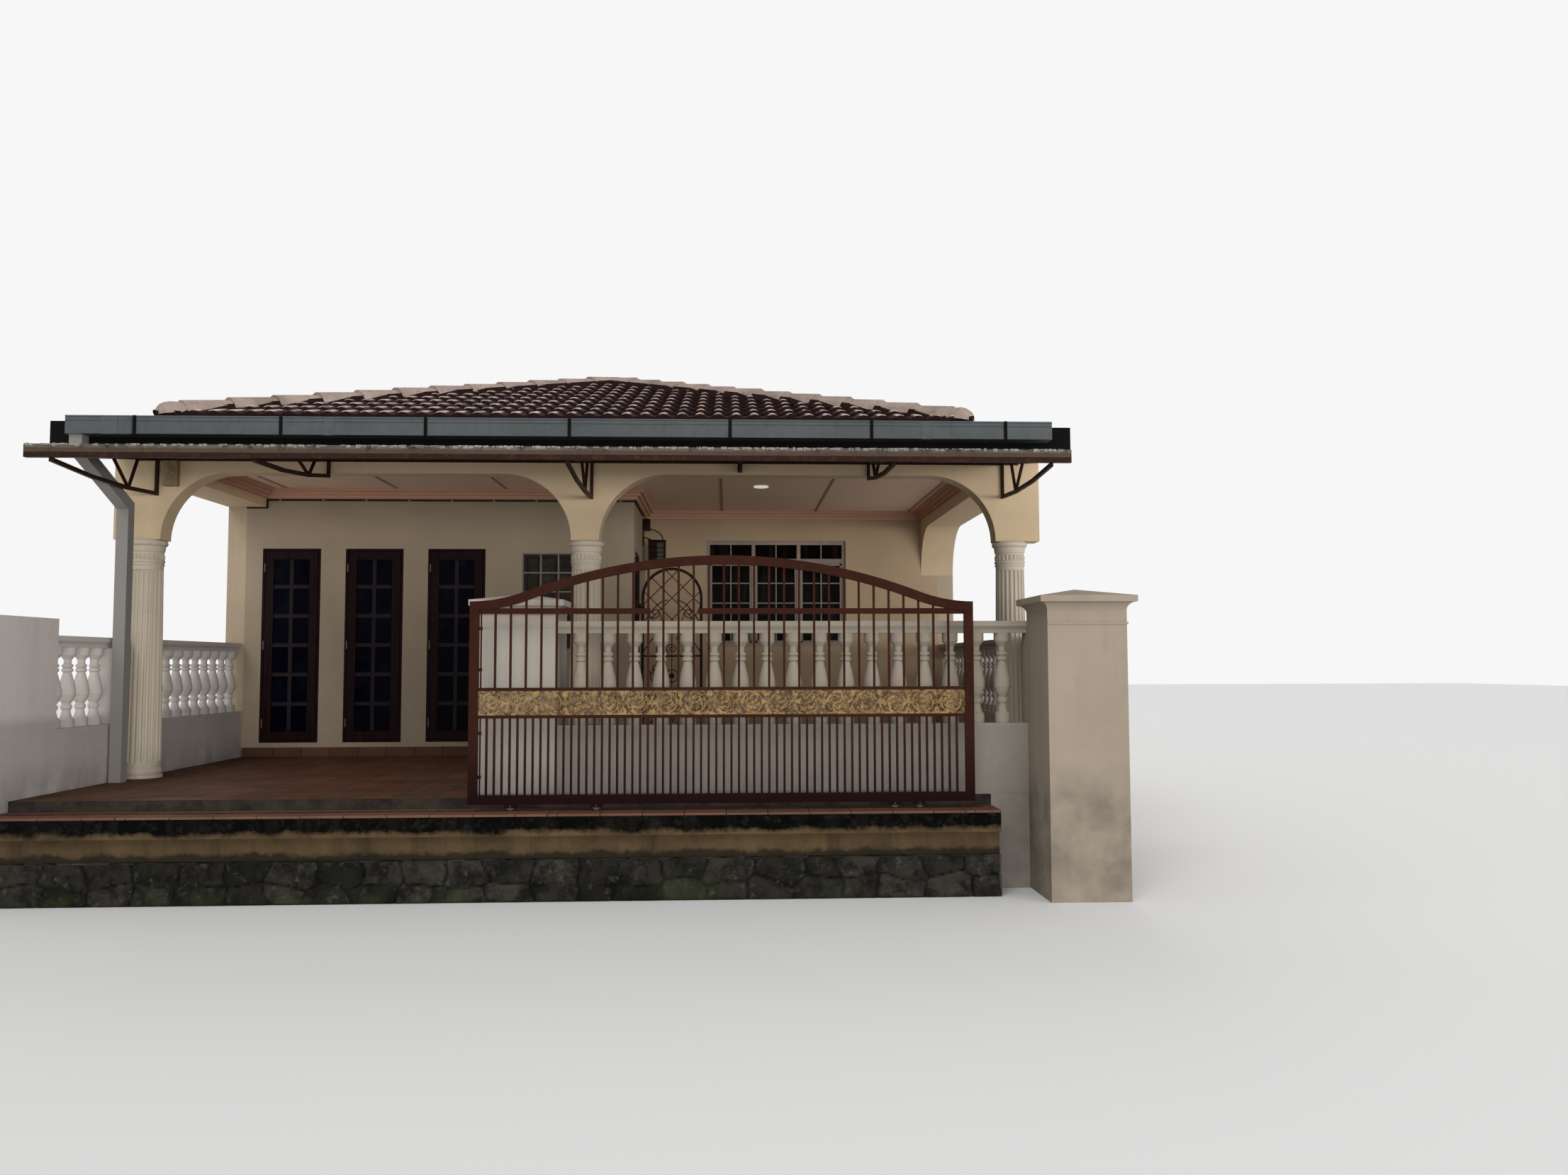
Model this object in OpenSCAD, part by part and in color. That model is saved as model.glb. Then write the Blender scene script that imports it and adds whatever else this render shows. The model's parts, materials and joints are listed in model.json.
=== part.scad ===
// Single-storey house with an arched porch, front fence and sliding gate.
// X runs along the street, Y into the house, Z up. Y = 0 is the front of the
// arcade, X = 0 the middle column and Z = 0 the foot of the rubble footing.

/* [Plot and levels] */
// Width over the two boundary lines
lot_w = 8260; // [7900:10:8800]
// Height of the rubble footing
rubble_h = 300; // [250:10:450]
// Height of the plastered band on the rubble
band_h = 165; // [120:5:200]
// Thickness of the ledge in front of the fence
ledge_t = 145; // [110:5:200]
// Rise from the ledge to the porch floor
porch_step = 90; // [60:5:110]
// Rise from the porch floor to the house floor
house_step = 100; // [60:5:140]
// Thickness of the floor slabs
slab_t = 150; // [120:5:200]
// Thickness of the inner and front walls
wall_t = 140; // [110:5:180]
// Thickness of the walls on the boundary lines
party_t = 195; // [180:5:230]
// Distance from the arcade forward to the fence
fence_out = 1700; // [1500:10:2000]
// Depth of the ledge in front of the fence
ledge_d = 340; // [300:10:400]
// Distance from the arcade back to the living room wall
porch_d = 2345; // [2000:5:2800]
// Depth of the recess beside the living room
recess_d = 1755; // [1500:5:2200]
// Distance from the arcade back to the rear face
house_d = 11000; // [9500:50:12500]
// Height of the ceiling above the porch floor
ceiling_h = 2900; // [2850:10:3200]

/* [Columns and arches] */
// Diameter of a column shaft at its foot
shaft_foot_d = 300; // [260:5:320]
// Diameter of a column shaft under its capital
shaft_top_d = 255; // [220:5:280]
// Height of a column with base and capital
column_h = 2095; // [1950:5:2140]
// Height of the capital
capital_h = 225; // [160:5:240]
// Number of flutes round a shaft
flutes = 20; // [12:2:24]
// Thickness of the arcade
arcade_t = 200; // [180:5:240]
// Rise of the front arches and radius of their haunches
arch_rise = 600; // [500:4:700]
// Width of the pier between the two front arches
pier_w = 250; // [240:5:300]
// Rise of the side arch and radius of its haunches
side_rise = 570; // [400:5:640]
// Width of the side beams
side_beam_w = 405; // [350:5:440]
// Depth of the plain beam on the left
left_beam_h = 200; // [150:5:300]

/* [Roof] */
// Pitch of the roof in degrees
pitch = 18; // [15:0.5:24]
// Distance from the boundary line to the side eaves of the tiled roof
side_flat_w = 850; // [450:10:1000]
// Thickness of the roof under its tile courses
roof_t = 75; // [60:5:100]
// Height of the step at the lower end of a tile course
tile_butt = 30; // [20:1:36]
// Exposed length of a tile course
tile_gauge = 335; // [300:5:380]
// Overhang of the front eaves
front_eaves = 1000; // [800:10:1200]
// Overhang of the rear eaves
rear_eaves = 600; // [400:10:800]
// Radius of the ridge and hip caps
cap_r = 95; // [80:5:110]
// Height of the fascia board
fascia_h = 150; // [120:5:180]
// Width of the gutter
gutter_w = 145; // [120:5:180]
// Height of the gutter
gutter_h = 145; // [130:5:190]

/* [Awning] */
// Reach of the awning in front of the arcade
awning_d = 1670; // [1500:10:1900]
// Fall of the awning from wall to front edge
awning_fall = 270; // [200:10:330]
// Size of the awning tubes
tube = 40; // [30:2:50]

/* [Fence and gate] */
// Height of the low wall under the front balusters
fence_wall_h = 530; // [450:10:600]
// Height of the low wall under the side balusters
side_wall_h = 490; // [420:5:560]
// Height of a front baluster
baluster_h = 685; // [600:5:720]
// Height of a side baluster
side_baluster_h = 640; // [600:5:700]
// Distance between balusters
baluster_pitch = 200; // [170:5:240]
// Height of a handrail
rail_h = 90; // [70:5:110]
// Width of a gate pillar
pillar_w = 575; // [450:10:600]
// Width of a pillar cap
cap_w = 700; // [640:10:740]
// Height of a pillar under its cap
pillar_h = 1360; // [1200:10:1450]
// Left edge of the gate when it stands open
gate_x = -600; // [-700:5:-500]
// Width of the gate
gate_w = 3705; // [3450:5:3750]
// Height of the gate at its ends
gate_end_h = 1474; // [1380:5:1550]
// Rise of the arched top of the gate
gate_rise = 341; // [250:5:400]
// Width of the gate's stiles and rails
gate_tube = 66; // [55:1:75]
// Thickness of the gate
gate_t = 40; // [34:1:46]
// Distance between the bars of the gate's lower part
gate_bar_pitch = 55.6; // [50:0.2:64]
// Thickness of a gate bar
gate_bar = 16; // [12:1:18]
// Height of the ornament band in the gate
band_gap = 178; // [150:2:200]

/* [Doors and windows] */
// Width of a glazed door with its frame
door_w = 620; // [580:5:680]
// Height of a glazed door with its frame
door_h = 2098; // [2000:2:2150]
// Height of the door sill above the house floor
sill_up = 50; // [40:1:80]
// Distance between the glazed doors
door_pitch = 885; // [820:5:940]
// Gap between the left wall and the first glazed door
door_side_gap = 180; // [140:5:230]
// Width of the three-bay window
window_w = 1756; // [1600:4:1900]
// Height of the three-bay window
window_h = 1326; // [1200:2:1600]
// Width of the small window
small_w = 770; // [650:10:820]
// Height of the small window
small_h = 1050; // [900:10:1150]
// Height of the small window's head above the porch floor
small_head = 2200; // [2100:10:2300]
// Height of the three-bay window's head above the porch floor
window_head = 2529; // [2400:1:2600]
// Width of the iron grille leaf
grille_w = 680; // [600:5:700]
// Height of the iron grille leaf
grille_h = 2045; // [1950:5:2080]

/* [Hidden] */
$fn = 48;

// Running clearance at pins and seats
seat = 0.3;
// Overlap that makes a cut pass clean through
eps = 5;

// Levels
plinth_z = rubble_h + band_h;
ledge_z = plinth_z + ledge_t;
porch_z = ledge_z + porch_step;
house_z = porch_z + house_step;
ceiling_z = porch_z + ceiling_h;
spring_z = porch_z + column_h;

// Plan lines
half_w = lot_w / 2;
inner_x = half_w - party_t;
footing_t = 300;
fence_y = -fence_out;
ledge_y = fence_y - ledge_d;
recess_y = porch_d + recess_d;
beam_x = half_w - side_beam_w;
door_x = door_side_gap - inner_x;
small_x = door_x + 2 * door_pitch + door_w + 400;
return_x = small_x + small_w + 445;
window_x = return_x + 763;
middle_x1 = 0;
right_x0 = half_w - pillar_w;
ledge_x = right_x0 - 295;
pillar_proud = 580;
column_x = beam_x + 150;
column_y = arcade_t / 2;

// Roof lines
rise = tan(pitch);
roof_v = (roof_t + tile_butt) / cos(pitch);
roof_w = half_w - side_flat_w;
eaves_front = -front_eaves;
eaves_rear = house_d + rear_eaves;
ridge_front = eaves_front + roof_w;
ridge_rear = eaves_rear - roof_w;
eaves_z = ceiling_z + roof_v;
ridge_z = eaves_z + roof_w * rise;
board_t = 25;
soffit_t = 12;
flat_t = 40;

module block(x0, x1, y0, y1, z0, z1) {
    translate([x0, y0, z0]) cube([x1 - x0, y1 - y0, z1 - z0]);
}

// Extrudes a drawing of X and Z from y0 to y1
module along_y(y0, y1) {
    translate([0, y1, 0]) rotate([90, 0, 0]) linear_extrude(y1 - y0) children();
}

// Extrudes a drawing of Y and Z from x0 to x1
module along_x(x0, x1) {
    translate([x0, 0, 0]) rotate([90, 0, 90]) linear_extrude(x1 - x0) children();
}

// Footing and floors

// Plan of the walls under the house, round three rooms of fill
module footing_plan() {
    difference() {
        translate([-half_w, fence_y]) square([lot_w, house_d - fence_y]);
        footing_room(fence_y + footing_t, -footing_t / 2);
        footing_room(footing_t / 2, porch_d);
        footing_room(porch_d + footing_t, house_d - footing_t);
    }
}

module footing_room(y0, y1) {
    x = half_w - footing_t;
    translate([-x, y0]) square([2 * x, y1 - y0]);
}

// Plan of the footing under the ledge, set back from its edge
module ledge_plan(back) {
    translate([-half_w, ledge_y + back]) square([half_w + ledge_x, ledge_d - back]);
}

module rubble_footing() {
    color("dimgray") linear_extrude(rubble_h) union() {
        footing_plan();
        ledge_plan(10);
    }
}

module plinth_band() {
    color("wheat") {
        translate([0, 0, rubble_h]) linear_extrude(band_h) union() {
            footing_plan();
            ledge_plan(60);
        }
        translate([0, 0, plinth_z]) linear_extrude(porch_z - slab_t - plinth_z) footing_plan();
        translate([0, 0, porch_z - slab_t])
            linear_extrude(house_step)
                intersection() {
                    footing_plan();
                    house_plan(half_w);
                }
    }
}

// Plan of the house behind its front walls, out to x on both sides
module house_plan(x) {
    polygon([
        [-x, porch_d], [return_x, porch_d], [return_x, recess_y],
        [x, recess_y], [x, house_d], [-x, house_d]
    ]);
}

module porch_floor() {
    color("peru") translate([0, 0, porch_z - slab_t]) linear_extrude(slab_t)
        polygon([
            [-inner_x, fence_y], [inner_x, fence_y], [inner_x, recess_y],
            [return_x, recess_y], [return_x, porch_d], [-inner_x, porch_d]
        ]);
}

module house_floor() {
    color("peru") translate([0, 0, house_z - slab_t]) linear_extrude(slab_t) house_plan(inner_x);
}

module front_ledge() {
    color("tan") block(-half_w, ledge_x, ledge_y, fence_y, plinth_z, ledge_z);
}

track_h = 17;
gate_y = fence_y - 170;

module gate_track() {
    color("sienna") {
        block(-inner_x, ledge_x - 90, gate_y - 25, gate_y + 25, ledge_z, ledge_z + 9);
        translate([-inner_x, gate_y, ledge_z + 9])
            rotate([0, 90, 0]) cylinder(r = track_h - 9, h = inner_x + ledge_x - 90);
    }
}

// Walls

module left_party_wall() {
    color("antiquewhite")
        block(-half_w, -inner_x, porch_d, house_d, house_z - slab_t, ceiling_z);
}

module right_party_wall() {
    color("antiquewhite")
        block(inner_x, half_w, recess_y, house_d, house_z - slab_t, ceiling_z);
}

rear_door_w = 900;
rear_door_x = 1500;
rear_window_w = 1500;
rear_window_h = 1200;
rear_window_x = -2600;
head_z = house_z + sill_up + door_h;

module rear_wall() {
    color("antiquewhite") difference() {
        block(-inner_x, inner_x, house_d - wall_t, house_d, house_z, ceiling_z);
        block(rear_door_x, rear_door_x + rear_door_w, house_d - wall_t - eps, house_d + eps,
            house_z, head_z);
        block(rear_window_x, rear_window_x + rear_window_w, house_d - wall_t - eps, house_d + eps,
            head_z - rear_window_h, head_z);
    }
}

door_z = house_z + sill_up;
small_top = porch_z + small_head;

module living_room_wall() {
    color("antiquewhite") difference() {
        block(-inner_x, return_x, porch_d, porch_d + wall_t, house_z, ceiling_z);
        for (i = [0 : 2])
            block(door_x + i * door_pitch, door_x + i * door_pitch + door_w,
                porch_d - eps, porch_d + wall_t + eps, door_z, door_z + door_h);
        block(small_x, small_x + small_w, porch_d - eps, porch_d + wall_t + eps,
            small_top - small_h, small_top);
    }
}

entrance_y = porch_d + wall_t + 50;
entrance_w = 640;

module entrance_wall() {
    color("antiquewhite") difference() {
        block(return_x - wall_t, return_x, porch_d + wall_t, recess_y, house_z, ceiling_z);
        block(return_x - wall_t - eps, return_x + eps, entrance_y, entrance_y + entrance_w,
            house_z, door_z + door_h);
    }
}

window_top = porch_z + window_head;

module bedroom_wall() {
    color("antiquewhite") difference() {
        block(return_x - wall_t, inner_x, recess_y, recess_y + wall_t, house_z, ceiling_z);
        block(window_x, window_x + window_w, recess_y - eps, recess_y + wall_t + eps,
            window_top - window_h, window_top);
    }
}

// Arcade, columns and side beams

// Opening of an arch with a flat crown and round haunches
module arch_shape(width, rise) {
    translate([0, -eps]) square([width, eps]);
    translate([rise, 0]) square([width - 2 * rise, rise]);
    for (x = [rise, width - rise])
        translate([x, 0]) intersection() {
            circle(rise, $fn = 96);
            translate([-rise, 0]) square([2 * rise, rise]);
        }
}

module arcade() {
    arch_w = beam_x - pier_w / 2;
    color("antiquewhite") along_y(0, arcade_t) difference() {
        translate([-half_w, spring_z]) square([lot_w, ceiling_z - spring_z]);
        for (x = [-beam_x, pier_w / 2])
            translate([x, spring_z]) arch_shape(arch_w, arch_rise);
    }
}

base_h = 90;
base_r = shaft_foot_d / 2 + 15;

module column(x) {
    foot_r = shaft_foot_d / 2;
    top_r = shaft_top_d / 2;
    shaft_h = column_h - base_h - capital_h;
    lean = atan((foot_r - top_r) / shaft_h);
    flute_r = 0.1 * foot_r;
    color("whitesmoke") translate([x, column_y, porch_z]) {
        rotate_extrude() polygon([
            [0, 0], [base_r, 0], [base_r, 0.3 * base_h], [foot_r + 2, 0.36 * base_h],
            [foot_r + 2, 0.42 * base_h], [foot_r + 9, 0.5 * base_h], [foot_r + 11, 0.62 * base_h],
            [foot_r + 8, 0.76 * base_h], [foot_r, base_h], [0, base_h]
        ]);
        translate([0, 0, base_h]) difference() {
            cylinder(r1 = foot_r, r2 = top_r, h = shaft_h);
            for (i = [0 : flutes - 1])
                rotate([0, 0, i * 360 / flutes]) translate([foot_r, 0, 0]) rotate([0, -lean, 0])
                    translate([0, 0, 50]) cylinder(r = flute_r, h = shaft_h - 90, $fn = 24);
        }
        translate([0, 0, column_h - capital_h]) capital(top_r, capital_h);
    }
}

module capital(neck_r, h) {
    torus_r = 0.12 * h;
    rotate_extrude() union() {
        polygon([
            [0, 0], [neck_r + 8, 0], [neck_r + 8, 0.04 * h], [neck_r + 3, 0.06 * h],
            [neck_r + 3, 0.1 * h], [neck_r + 10, 0.12 * h], [neck_r + 10, 0.2 * h],
            [neck_r + 1, 0.24 * h], [neck_r + 1, 0.52 * h], [neck_r + 8, 0.55 * h],
            [neck_r + 13, 0.72 * h], [neck_r + 13, 0.76 * h], [neck_r + 6, 0.76 * h],
            [neck_r + 6, h], [0, h]
        ]);
        translate([neck_r + 6, h - torus_r]) circle(torus_r);
    }
}

module left_column() column(-column_x);
module middle_column() column(0);
module right_column() column(column_x);

module left_side_beam() {
    color("antiquewhite")
        block(-half_w, -beam_x, arcade_t, porch_d, ceiling_z - left_beam_h, ceiling_z);
}

module right_side_arch() {
    color("antiquewhite") difference() {
        block(beam_x, half_w, arcade_t, recess_y, spring_z, ceiling_z);
        along_x(beam_x - eps, half_w + eps)
            translate([arcade_t, spring_z]) arch_shape(recess_y - arcade_t, side_rise);
    }
}

// Ceiling

ceiling_t = 20;
cornice_h = 105;

// Outline of the porch ceiling, drawn in by d from its walls
function porch_outline(d) = [
    [-beam_x + d, arcade_t + d], [beam_x - d, arcade_t + d], [beam_x - d, recess_y - d],
    [return_x + d, recess_y - d], [return_x + d, porch_d - d], [-beam_x + d, porch_d - d]
];

module ceiling_plan() {
    translate([-beam_x, 0]) square([2 * beam_x, recess_y]);
    house_plan(inner_x);
}

// The ceiling boards, cut away where the lower edges of the side slopes rest
module ceiling() {
    lap = 4 * ceiling_t / rise;
    color("snow") difference() {
        translate([0, 0, ceiling_z]) linear_extrude(ceiling_t) ceiling_plan();
        for (s = [-1, 1])
            along_y(-eps, house_d + eps) polygon([
                [s * roof_w, ceiling_z - seat], [s * roof_w, ceiling_z + 4 * ceiling_t],
                [s * (roof_w - lap), ceiling_z + 4 * ceiling_t - seat]
            ]);
    }
}

module cornice() {
    color("pink") for (i = [1 : 3])
        translate([0, 0, ceiling_z - cornice_h + (i - 1) * cornice_h / 3])
            linear_extrude(cornice_h / 3) difference() {
                polygon(porch_outline(0));
                polygon(porch_outline(i * cornice_h / 3));
            }
}

// Roof

// A slope of stepped tile courses that rises along +Y from its eaves line y = 0
module slope_band(width) {
    foot = roof_v * sin(pitch);
    courses = ceil(roof_w / cos(pitch) / tile_gauge) + 1;
    length = foot + courses * tile_gauge;
    // Height of the first course where it runs out below the eaves line
    start = roof_t + tile_butt + tile_butt * (foot + roof_t) / tile_gauge;
    translate([0, 0, ceiling_z]) rotate([pitch, 0, 0]) along_x(-width / 2 - eps, width / 2 + eps)
        polygon(concat(
            [[length, 0], [-roof_t, 0], [-roof_t, start]],
            [for (i = [1 : courses - 1]) each [
                [foot + i * tile_gauge, roof_t],
                [foot + i * tile_gauge, roof_t + tile_butt]
            ]],
            [[length, roof_t]]
        ));
}

module roof_part(points) {
    intersection() {
        linear_extrude(2 * ridge_z) polygon(points);
        children();
    }
}

module front_roof() {
    color("saddlebrown")
        roof_part([[-roof_w, eaves_front], [roof_w, eaves_front], [0, ridge_front]])
            translate([0, eaves_front, 0]) slope_band(2 * roof_w);
}

module rear_roof() {
    color("saddlebrown")
        roof_part([[-roof_w, eaves_rear], [roof_w, eaves_rear], [0, ridge_rear]])
            translate([0, eaves_rear, 0]) rotate([0, 0, 180]) slope_band(2 * roof_w);
}

module side_roof(side) {
    roof_part([
        [side * roof_w, eaves_front], [0, ridge_front], [0, ridge_rear], [side * roof_w, eaves_rear]
    ])
        translate([side * roof_w, (eaves_front + eaves_rear) / 2, 0])
            rotate([0, 0, side * 90]) slope_band(eaves_rear - eaves_front);
}

module left_roof() {
    color("saddlebrown") side_roof(-1);
}

module right_roof() {
    color("saddlebrown") side_roof(1);
}

// An eight-sided cap that rises from a to b and runs a little past both
module cap_bar(a, b) {
    d = b - a;
    flat = norm([d.x, d.y]);
    past = cap_r / 3;
    translate(a) rotate([0, 0, atan2(d.y, d.x)]) rotate([0, 90 - atan2(d.z, flat), 0])
        translate([0, 0, -past]) rotate([0, 0, 22.5])
            cylinder(r = cap_r, h = norm(d) + 2 * past, $fn = 8);
}

module ridge_caps() {
    past = 150;
    front = [0, ridge_front, ridge_z];
    rear = [0, ridge_rear, ridge_z];
    color("rosybrown") difference() {
        intersection() {
            union() {
                cap_bar(front, rear);
                for (s = [-1, 1]) {
                    cap_bar([s * (roof_w + past), eaves_front - past, eaves_z - past * rise], front);
                    cap_bar([s * (roof_w + past), eaves_rear + past, eaves_z - past * rise], rear);
                }
            }
            block(-roof_w, roof_w, eaves_front, eaves_rear, eaves_z - 10, ridge_z + 200);
        }
        translate([0, 0, seat]) roof_cut();
    }
}

// Everything under the edges of the tile courses
module roof_cut() {
    out = 300;
    low_z = eaves_z - out * rise;
    intersection() {
        along_y(eaves_front - out, eaves_rear + out)
            polygon([[-roof_w - out, low_z], [0, ridge_z], [roof_w + out, low_z],
                [roof_w + out, 0], [-roof_w - out, 0]]);
        along_x(-roof_w - out, roof_w + out)
            polygon([[eaves_front - out, low_z], [ridge_front, ridge_z], [ridge_rear, ridge_z],
                [eaves_rear + out, low_z], [eaves_rear + out, 0], [eaves_front - out, 0]]);
    }
}

// Fascia and soffit boards, and the flat strips beside the tiled roof
module eaves_boards() {
    color("black") {
        difference() {
            for (x = [-half_w, roof_w])
                block(x, x + side_flat_w, eaves_front, eaves_rear, ceiling_z, ceiling_z + flat_t);
            translate([0, 0, ceiling_z - eps]) linear_extrude(ceiling_t + eps) ceiling_plan();
        }
        block(-half_w, half_w, eaves_front, eaves_front + board_t, ceiling_z - fascia_h, ceiling_z);
        block(-half_w, half_w, eaves_front + board_t, 0, ceiling_z - soffit_t, ceiling_z);
        block(-half_w, half_w, house_d, eaves_rear - board_t, ceiling_z - soffit_t, ceiling_z);
        block(-half_w, half_w, eaves_rear - board_t, eaves_rear, ceiling_z - fascia_h, ceiling_z);
    }
}

sheet_t = 5;
gutter_z = ceiling_z - 90;
gutter_y = eaves_front - gutter_w;
outlet_x = 72 - inner_x;

module gutter() {
    color("lightsteelblue") difference() {
        block(-inner_x, inner_x, gutter_y, eaves_front, gutter_z, gutter_z + gutter_h);
        block(-inner_x + sheet_t, inner_x - sheet_t, gutter_y + sheet_t, eaves_front - sheet_t,
            gutter_z + sheet_t, gutter_z + gutter_h + eps);
        translate([outlet_x, gutter_y + gutter_w / 2, gutter_z - eps])
            cylinder(r = 35, h = 3 * eps);
    }
}

pipe = 100;
pipe_y = -330;
// Clearance round the pipe
pipe_gap = 10;

module downpipe() {
    half = pipe / 2;
    top_y = gutter_y + gutter_w / 2;
    knee_z = ceiling_z - fascia_h - 45;
    low_z = knee_z - 360;
    mitre = half * tan(atan((pipe_y - top_y) / (knee_z - low_z)) / 2);
    color("gainsboro") along_x(outlet_x - half, outlet_x + half) polygon([
        [top_y - half, gutter_z], [top_y + half, gutter_z], [top_y + half, knee_z + mitre],
        [pipe_y + half, low_z + mitre], [pipe_y + half, porch_z], [pipe_y - half, porch_z],
        [pipe_y - half, low_z - mitre], [top_y - half, knee_z - mitre]
    ]);
}

// Awning

awning_x0 = -inner_x;
awning_x1 = inner_x;
awning_wall_z = ceiling_z - 60;
awning_tilt = atan(awning_fall / awning_d);
bracket_x = [175 - inner_x, 1665 - inner_x, 60, inner_x - 1375, inner_x - 145];
bracket_leg = [315, 150, 335, 150, 315];
// Place of the bracket of which only a stub is left
stub_x = 1390;
stub_l = 160;

function awning_z(y) = awning_wall_z + y * awning_fall / awning_d;

module awning_frame() {
    front_y = tube / 2 - awning_d;
    color("rosybrown") {
        block(awning_x0, awning_x1, -tube, 0, awning_z(-tube) - tube, awning_z(-tube));
        translate([awning_x0, -awning_d, awning_wall_z - awning_fall - tube])
            cube([awning_x1 - awning_x0, tube, tube]);
        for (x = concat(bracket_x, [stub_x]))
            along_x(x - tube / 2, x + tube / 2) polygon([
                [-tube / 2, awning_z(-tube)], [-tube, awning_z(-tube)], [front_y, awning_z(front_y)],
                [front_y, awning_z(front_y) - tube], [-tube, awning_z(-tube) - tube],
                [-tube / 2, awning_z(-tube) - tube]
            ]);
    }
}

awning_sheet_t = 8;
// Height of the strip along the sheet's front edge
awning_lip = 60;

module awning_sheet() {
    color("gray", 0.6) difference() {
        along_x(awning_x0, awning_x1) polygon([
            [0, awning_z(0) + seat], [-awning_d, awning_z(-awning_d) + seat],
            [-awning_d, awning_z(-awning_d) + awning_lip],
            [-awning_d + awning_sheet_t, awning_z(-awning_d) + awning_lip],
            [-awning_d + awning_sheet_t, awning_z(-awning_d + awning_sheet_t) + awning_sheet_t],
            [0, awning_z(0) + awning_sheet_t]
        ]);
        block(awning_x0 - eps, outlet_x + pipe / 2 + pipe_gap, gutter_y - pipe_gap, 0, 0, ceiling_z);
    }
}

bracket_t = 25;
strut = 32;
brace = 12;
// How far a strut bows down from a straight line
bow = 35;

// A flat bar drawn from a to b, w wide
module bar(a, b, w) {
    d = b - a;
    side = [-d.y, d.x] * w / (2 * norm(d));
    polygon([a - side, b - side, b + side, a + side]);
}

// One bracket: a leg on the wall, a bowed strut to the awning's front and a V between
module bracket(x, leg) {
    foot = awning_wall_z - tube - leg;
    front_y = tube - awning_d + seat;
    back = [-strut / 2, foot + strut / 2];
    front = [tube - awning_d, awning_z(tube - awning_d) - tube - strut / 2];
    path = [for (t = [0, 0.3, 0.65, 1]) back + (front - back) * t - [0, 4 * bow * t * (1 - t)]];
    vee = path[1];
    along_x(x - bracket_t / 2, x + bracket_t / 2) intersection() {
        union() {
            translate([-strut, foot]) square([strut, leg]);
            for (i = [1 : len(path) - 1])
                bar(path[i - 1], path[i], strut);
            for (i = [1, 2])
                translate(path[i]) circle(strut / 2, $fn = 8);
            for (y = [vee.x - 240, vee.x + 140])
                bar([y, awning_z(y) - tube], vee, brace);
        }
        polygon([
            [0, 0], [0, awning_z(-tube) - tube - seat], [-tube, awning_z(-tube) - tube - seat],
            [front_y, awning_z(front_y) - tube - seat],
            [front_y, awning_z(-awning_d) - tube - seat],
            [-awning_d, awning_z(-awning_d) - tube - seat], [-awning_d, 0]
        ]);
    }
}

module awning_brackets() {
    color("sienna") {
        for (i = [0 : len(bracket_x) - 1])
            bracket(bracket_x[i], bracket_leg[i]);
        block(stub_x - tube / 2, stub_x + tube / 2, -stub_l, 0,
            awning_z(-stub_l) - tube - 60, awning_z(-stub_l) - tube - seat);
    }
}

// Fence and boundary walls

baluster_r = 65;

module baluster(h) {
    ends = 0.92 * baluster_r;
    neck = 0.46 * baluster_r;
    ring = 0.64 * baluster_r;
    rotate_extrude($fn = 32) polygon([
        [0, 0], [ends, 0], [ends, 0.1 * h], [ring, 0.13 * h], [neck, 0.21 * h],
        [ring, 0.24 * h], [ring, 0.27 * h], [neck, 0.29 * h], [0.76 * baluster_r, 0.34 * h],
        [baluster_r, 0.41 * h], [0.97 * baluster_r, 0.47 * h], [0.8 * baluster_r, 0.56 * h],
        [neck, 0.69 * h], [ring, 0.7 * h], [ring, 0.73 * h], [neck, 0.745 * h],
        [ring, 0.76 * h], [ring, 0.78 * h], [0.42 * baluster_r, 0.8 * h],
        [neck, 0.85 * h], [0.86 * baluster_r, 0.9 * h], [ends, 0.91 * h], [ends, h], [0, h]
    ]);
}

// Balusters centred in a bay from a to b along X
module baluster_row(a, b, h) {
    count = floor((b - a) / baluster_pitch);
    for (i = [0 : count - 1])
        translate([(a + b) / 2 + (i - (count - 1) / 2) * baluster_pitch, 0, 0]) baluster(h);
}

rail_w = 160;

// Section of a handrail, drawn round its middle: a slab on a coved bed
module rail_section() {
    slab = 0.45 * rail_h;
    half = rail_w / 2;
    translate([-half, rail_h - slab]) square([rail_w, slab]);
    polygon([[-half + 28, 0], [half - 28, 0], [half - 28, 0.3 * rail_h],
        [half - 12, rail_h - slab], [12 - half, rail_h - slab], [28 - half, 0.3 * rail_h]]);
}

module front_fence() {
    mid_y = fence_y + wall_t / 2;
    rail_z = porch_z + fence_wall_h + baluster_h;
    color("whitesmoke") {
        block(middle_x1, inner_x, fence_y, fence_y + wall_t, porch_z, porch_z + fence_wall_h);
        translate([0, mid_y, porch_z + fence_wall_h])
            baluster_row(middle_x1, right_x0, baluster_h);
        along_x(middle_x1, right_x0) translate([mid_y, rail_z]) rail_section();
        block(right_x0, inner_x, fence_y, fence_y + wall_t,
            porch_z + fence_wall_h, rail_z + rail_h);
    }
}

cap_slab = 45;
cove = 60;
fillet = 8;

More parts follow.
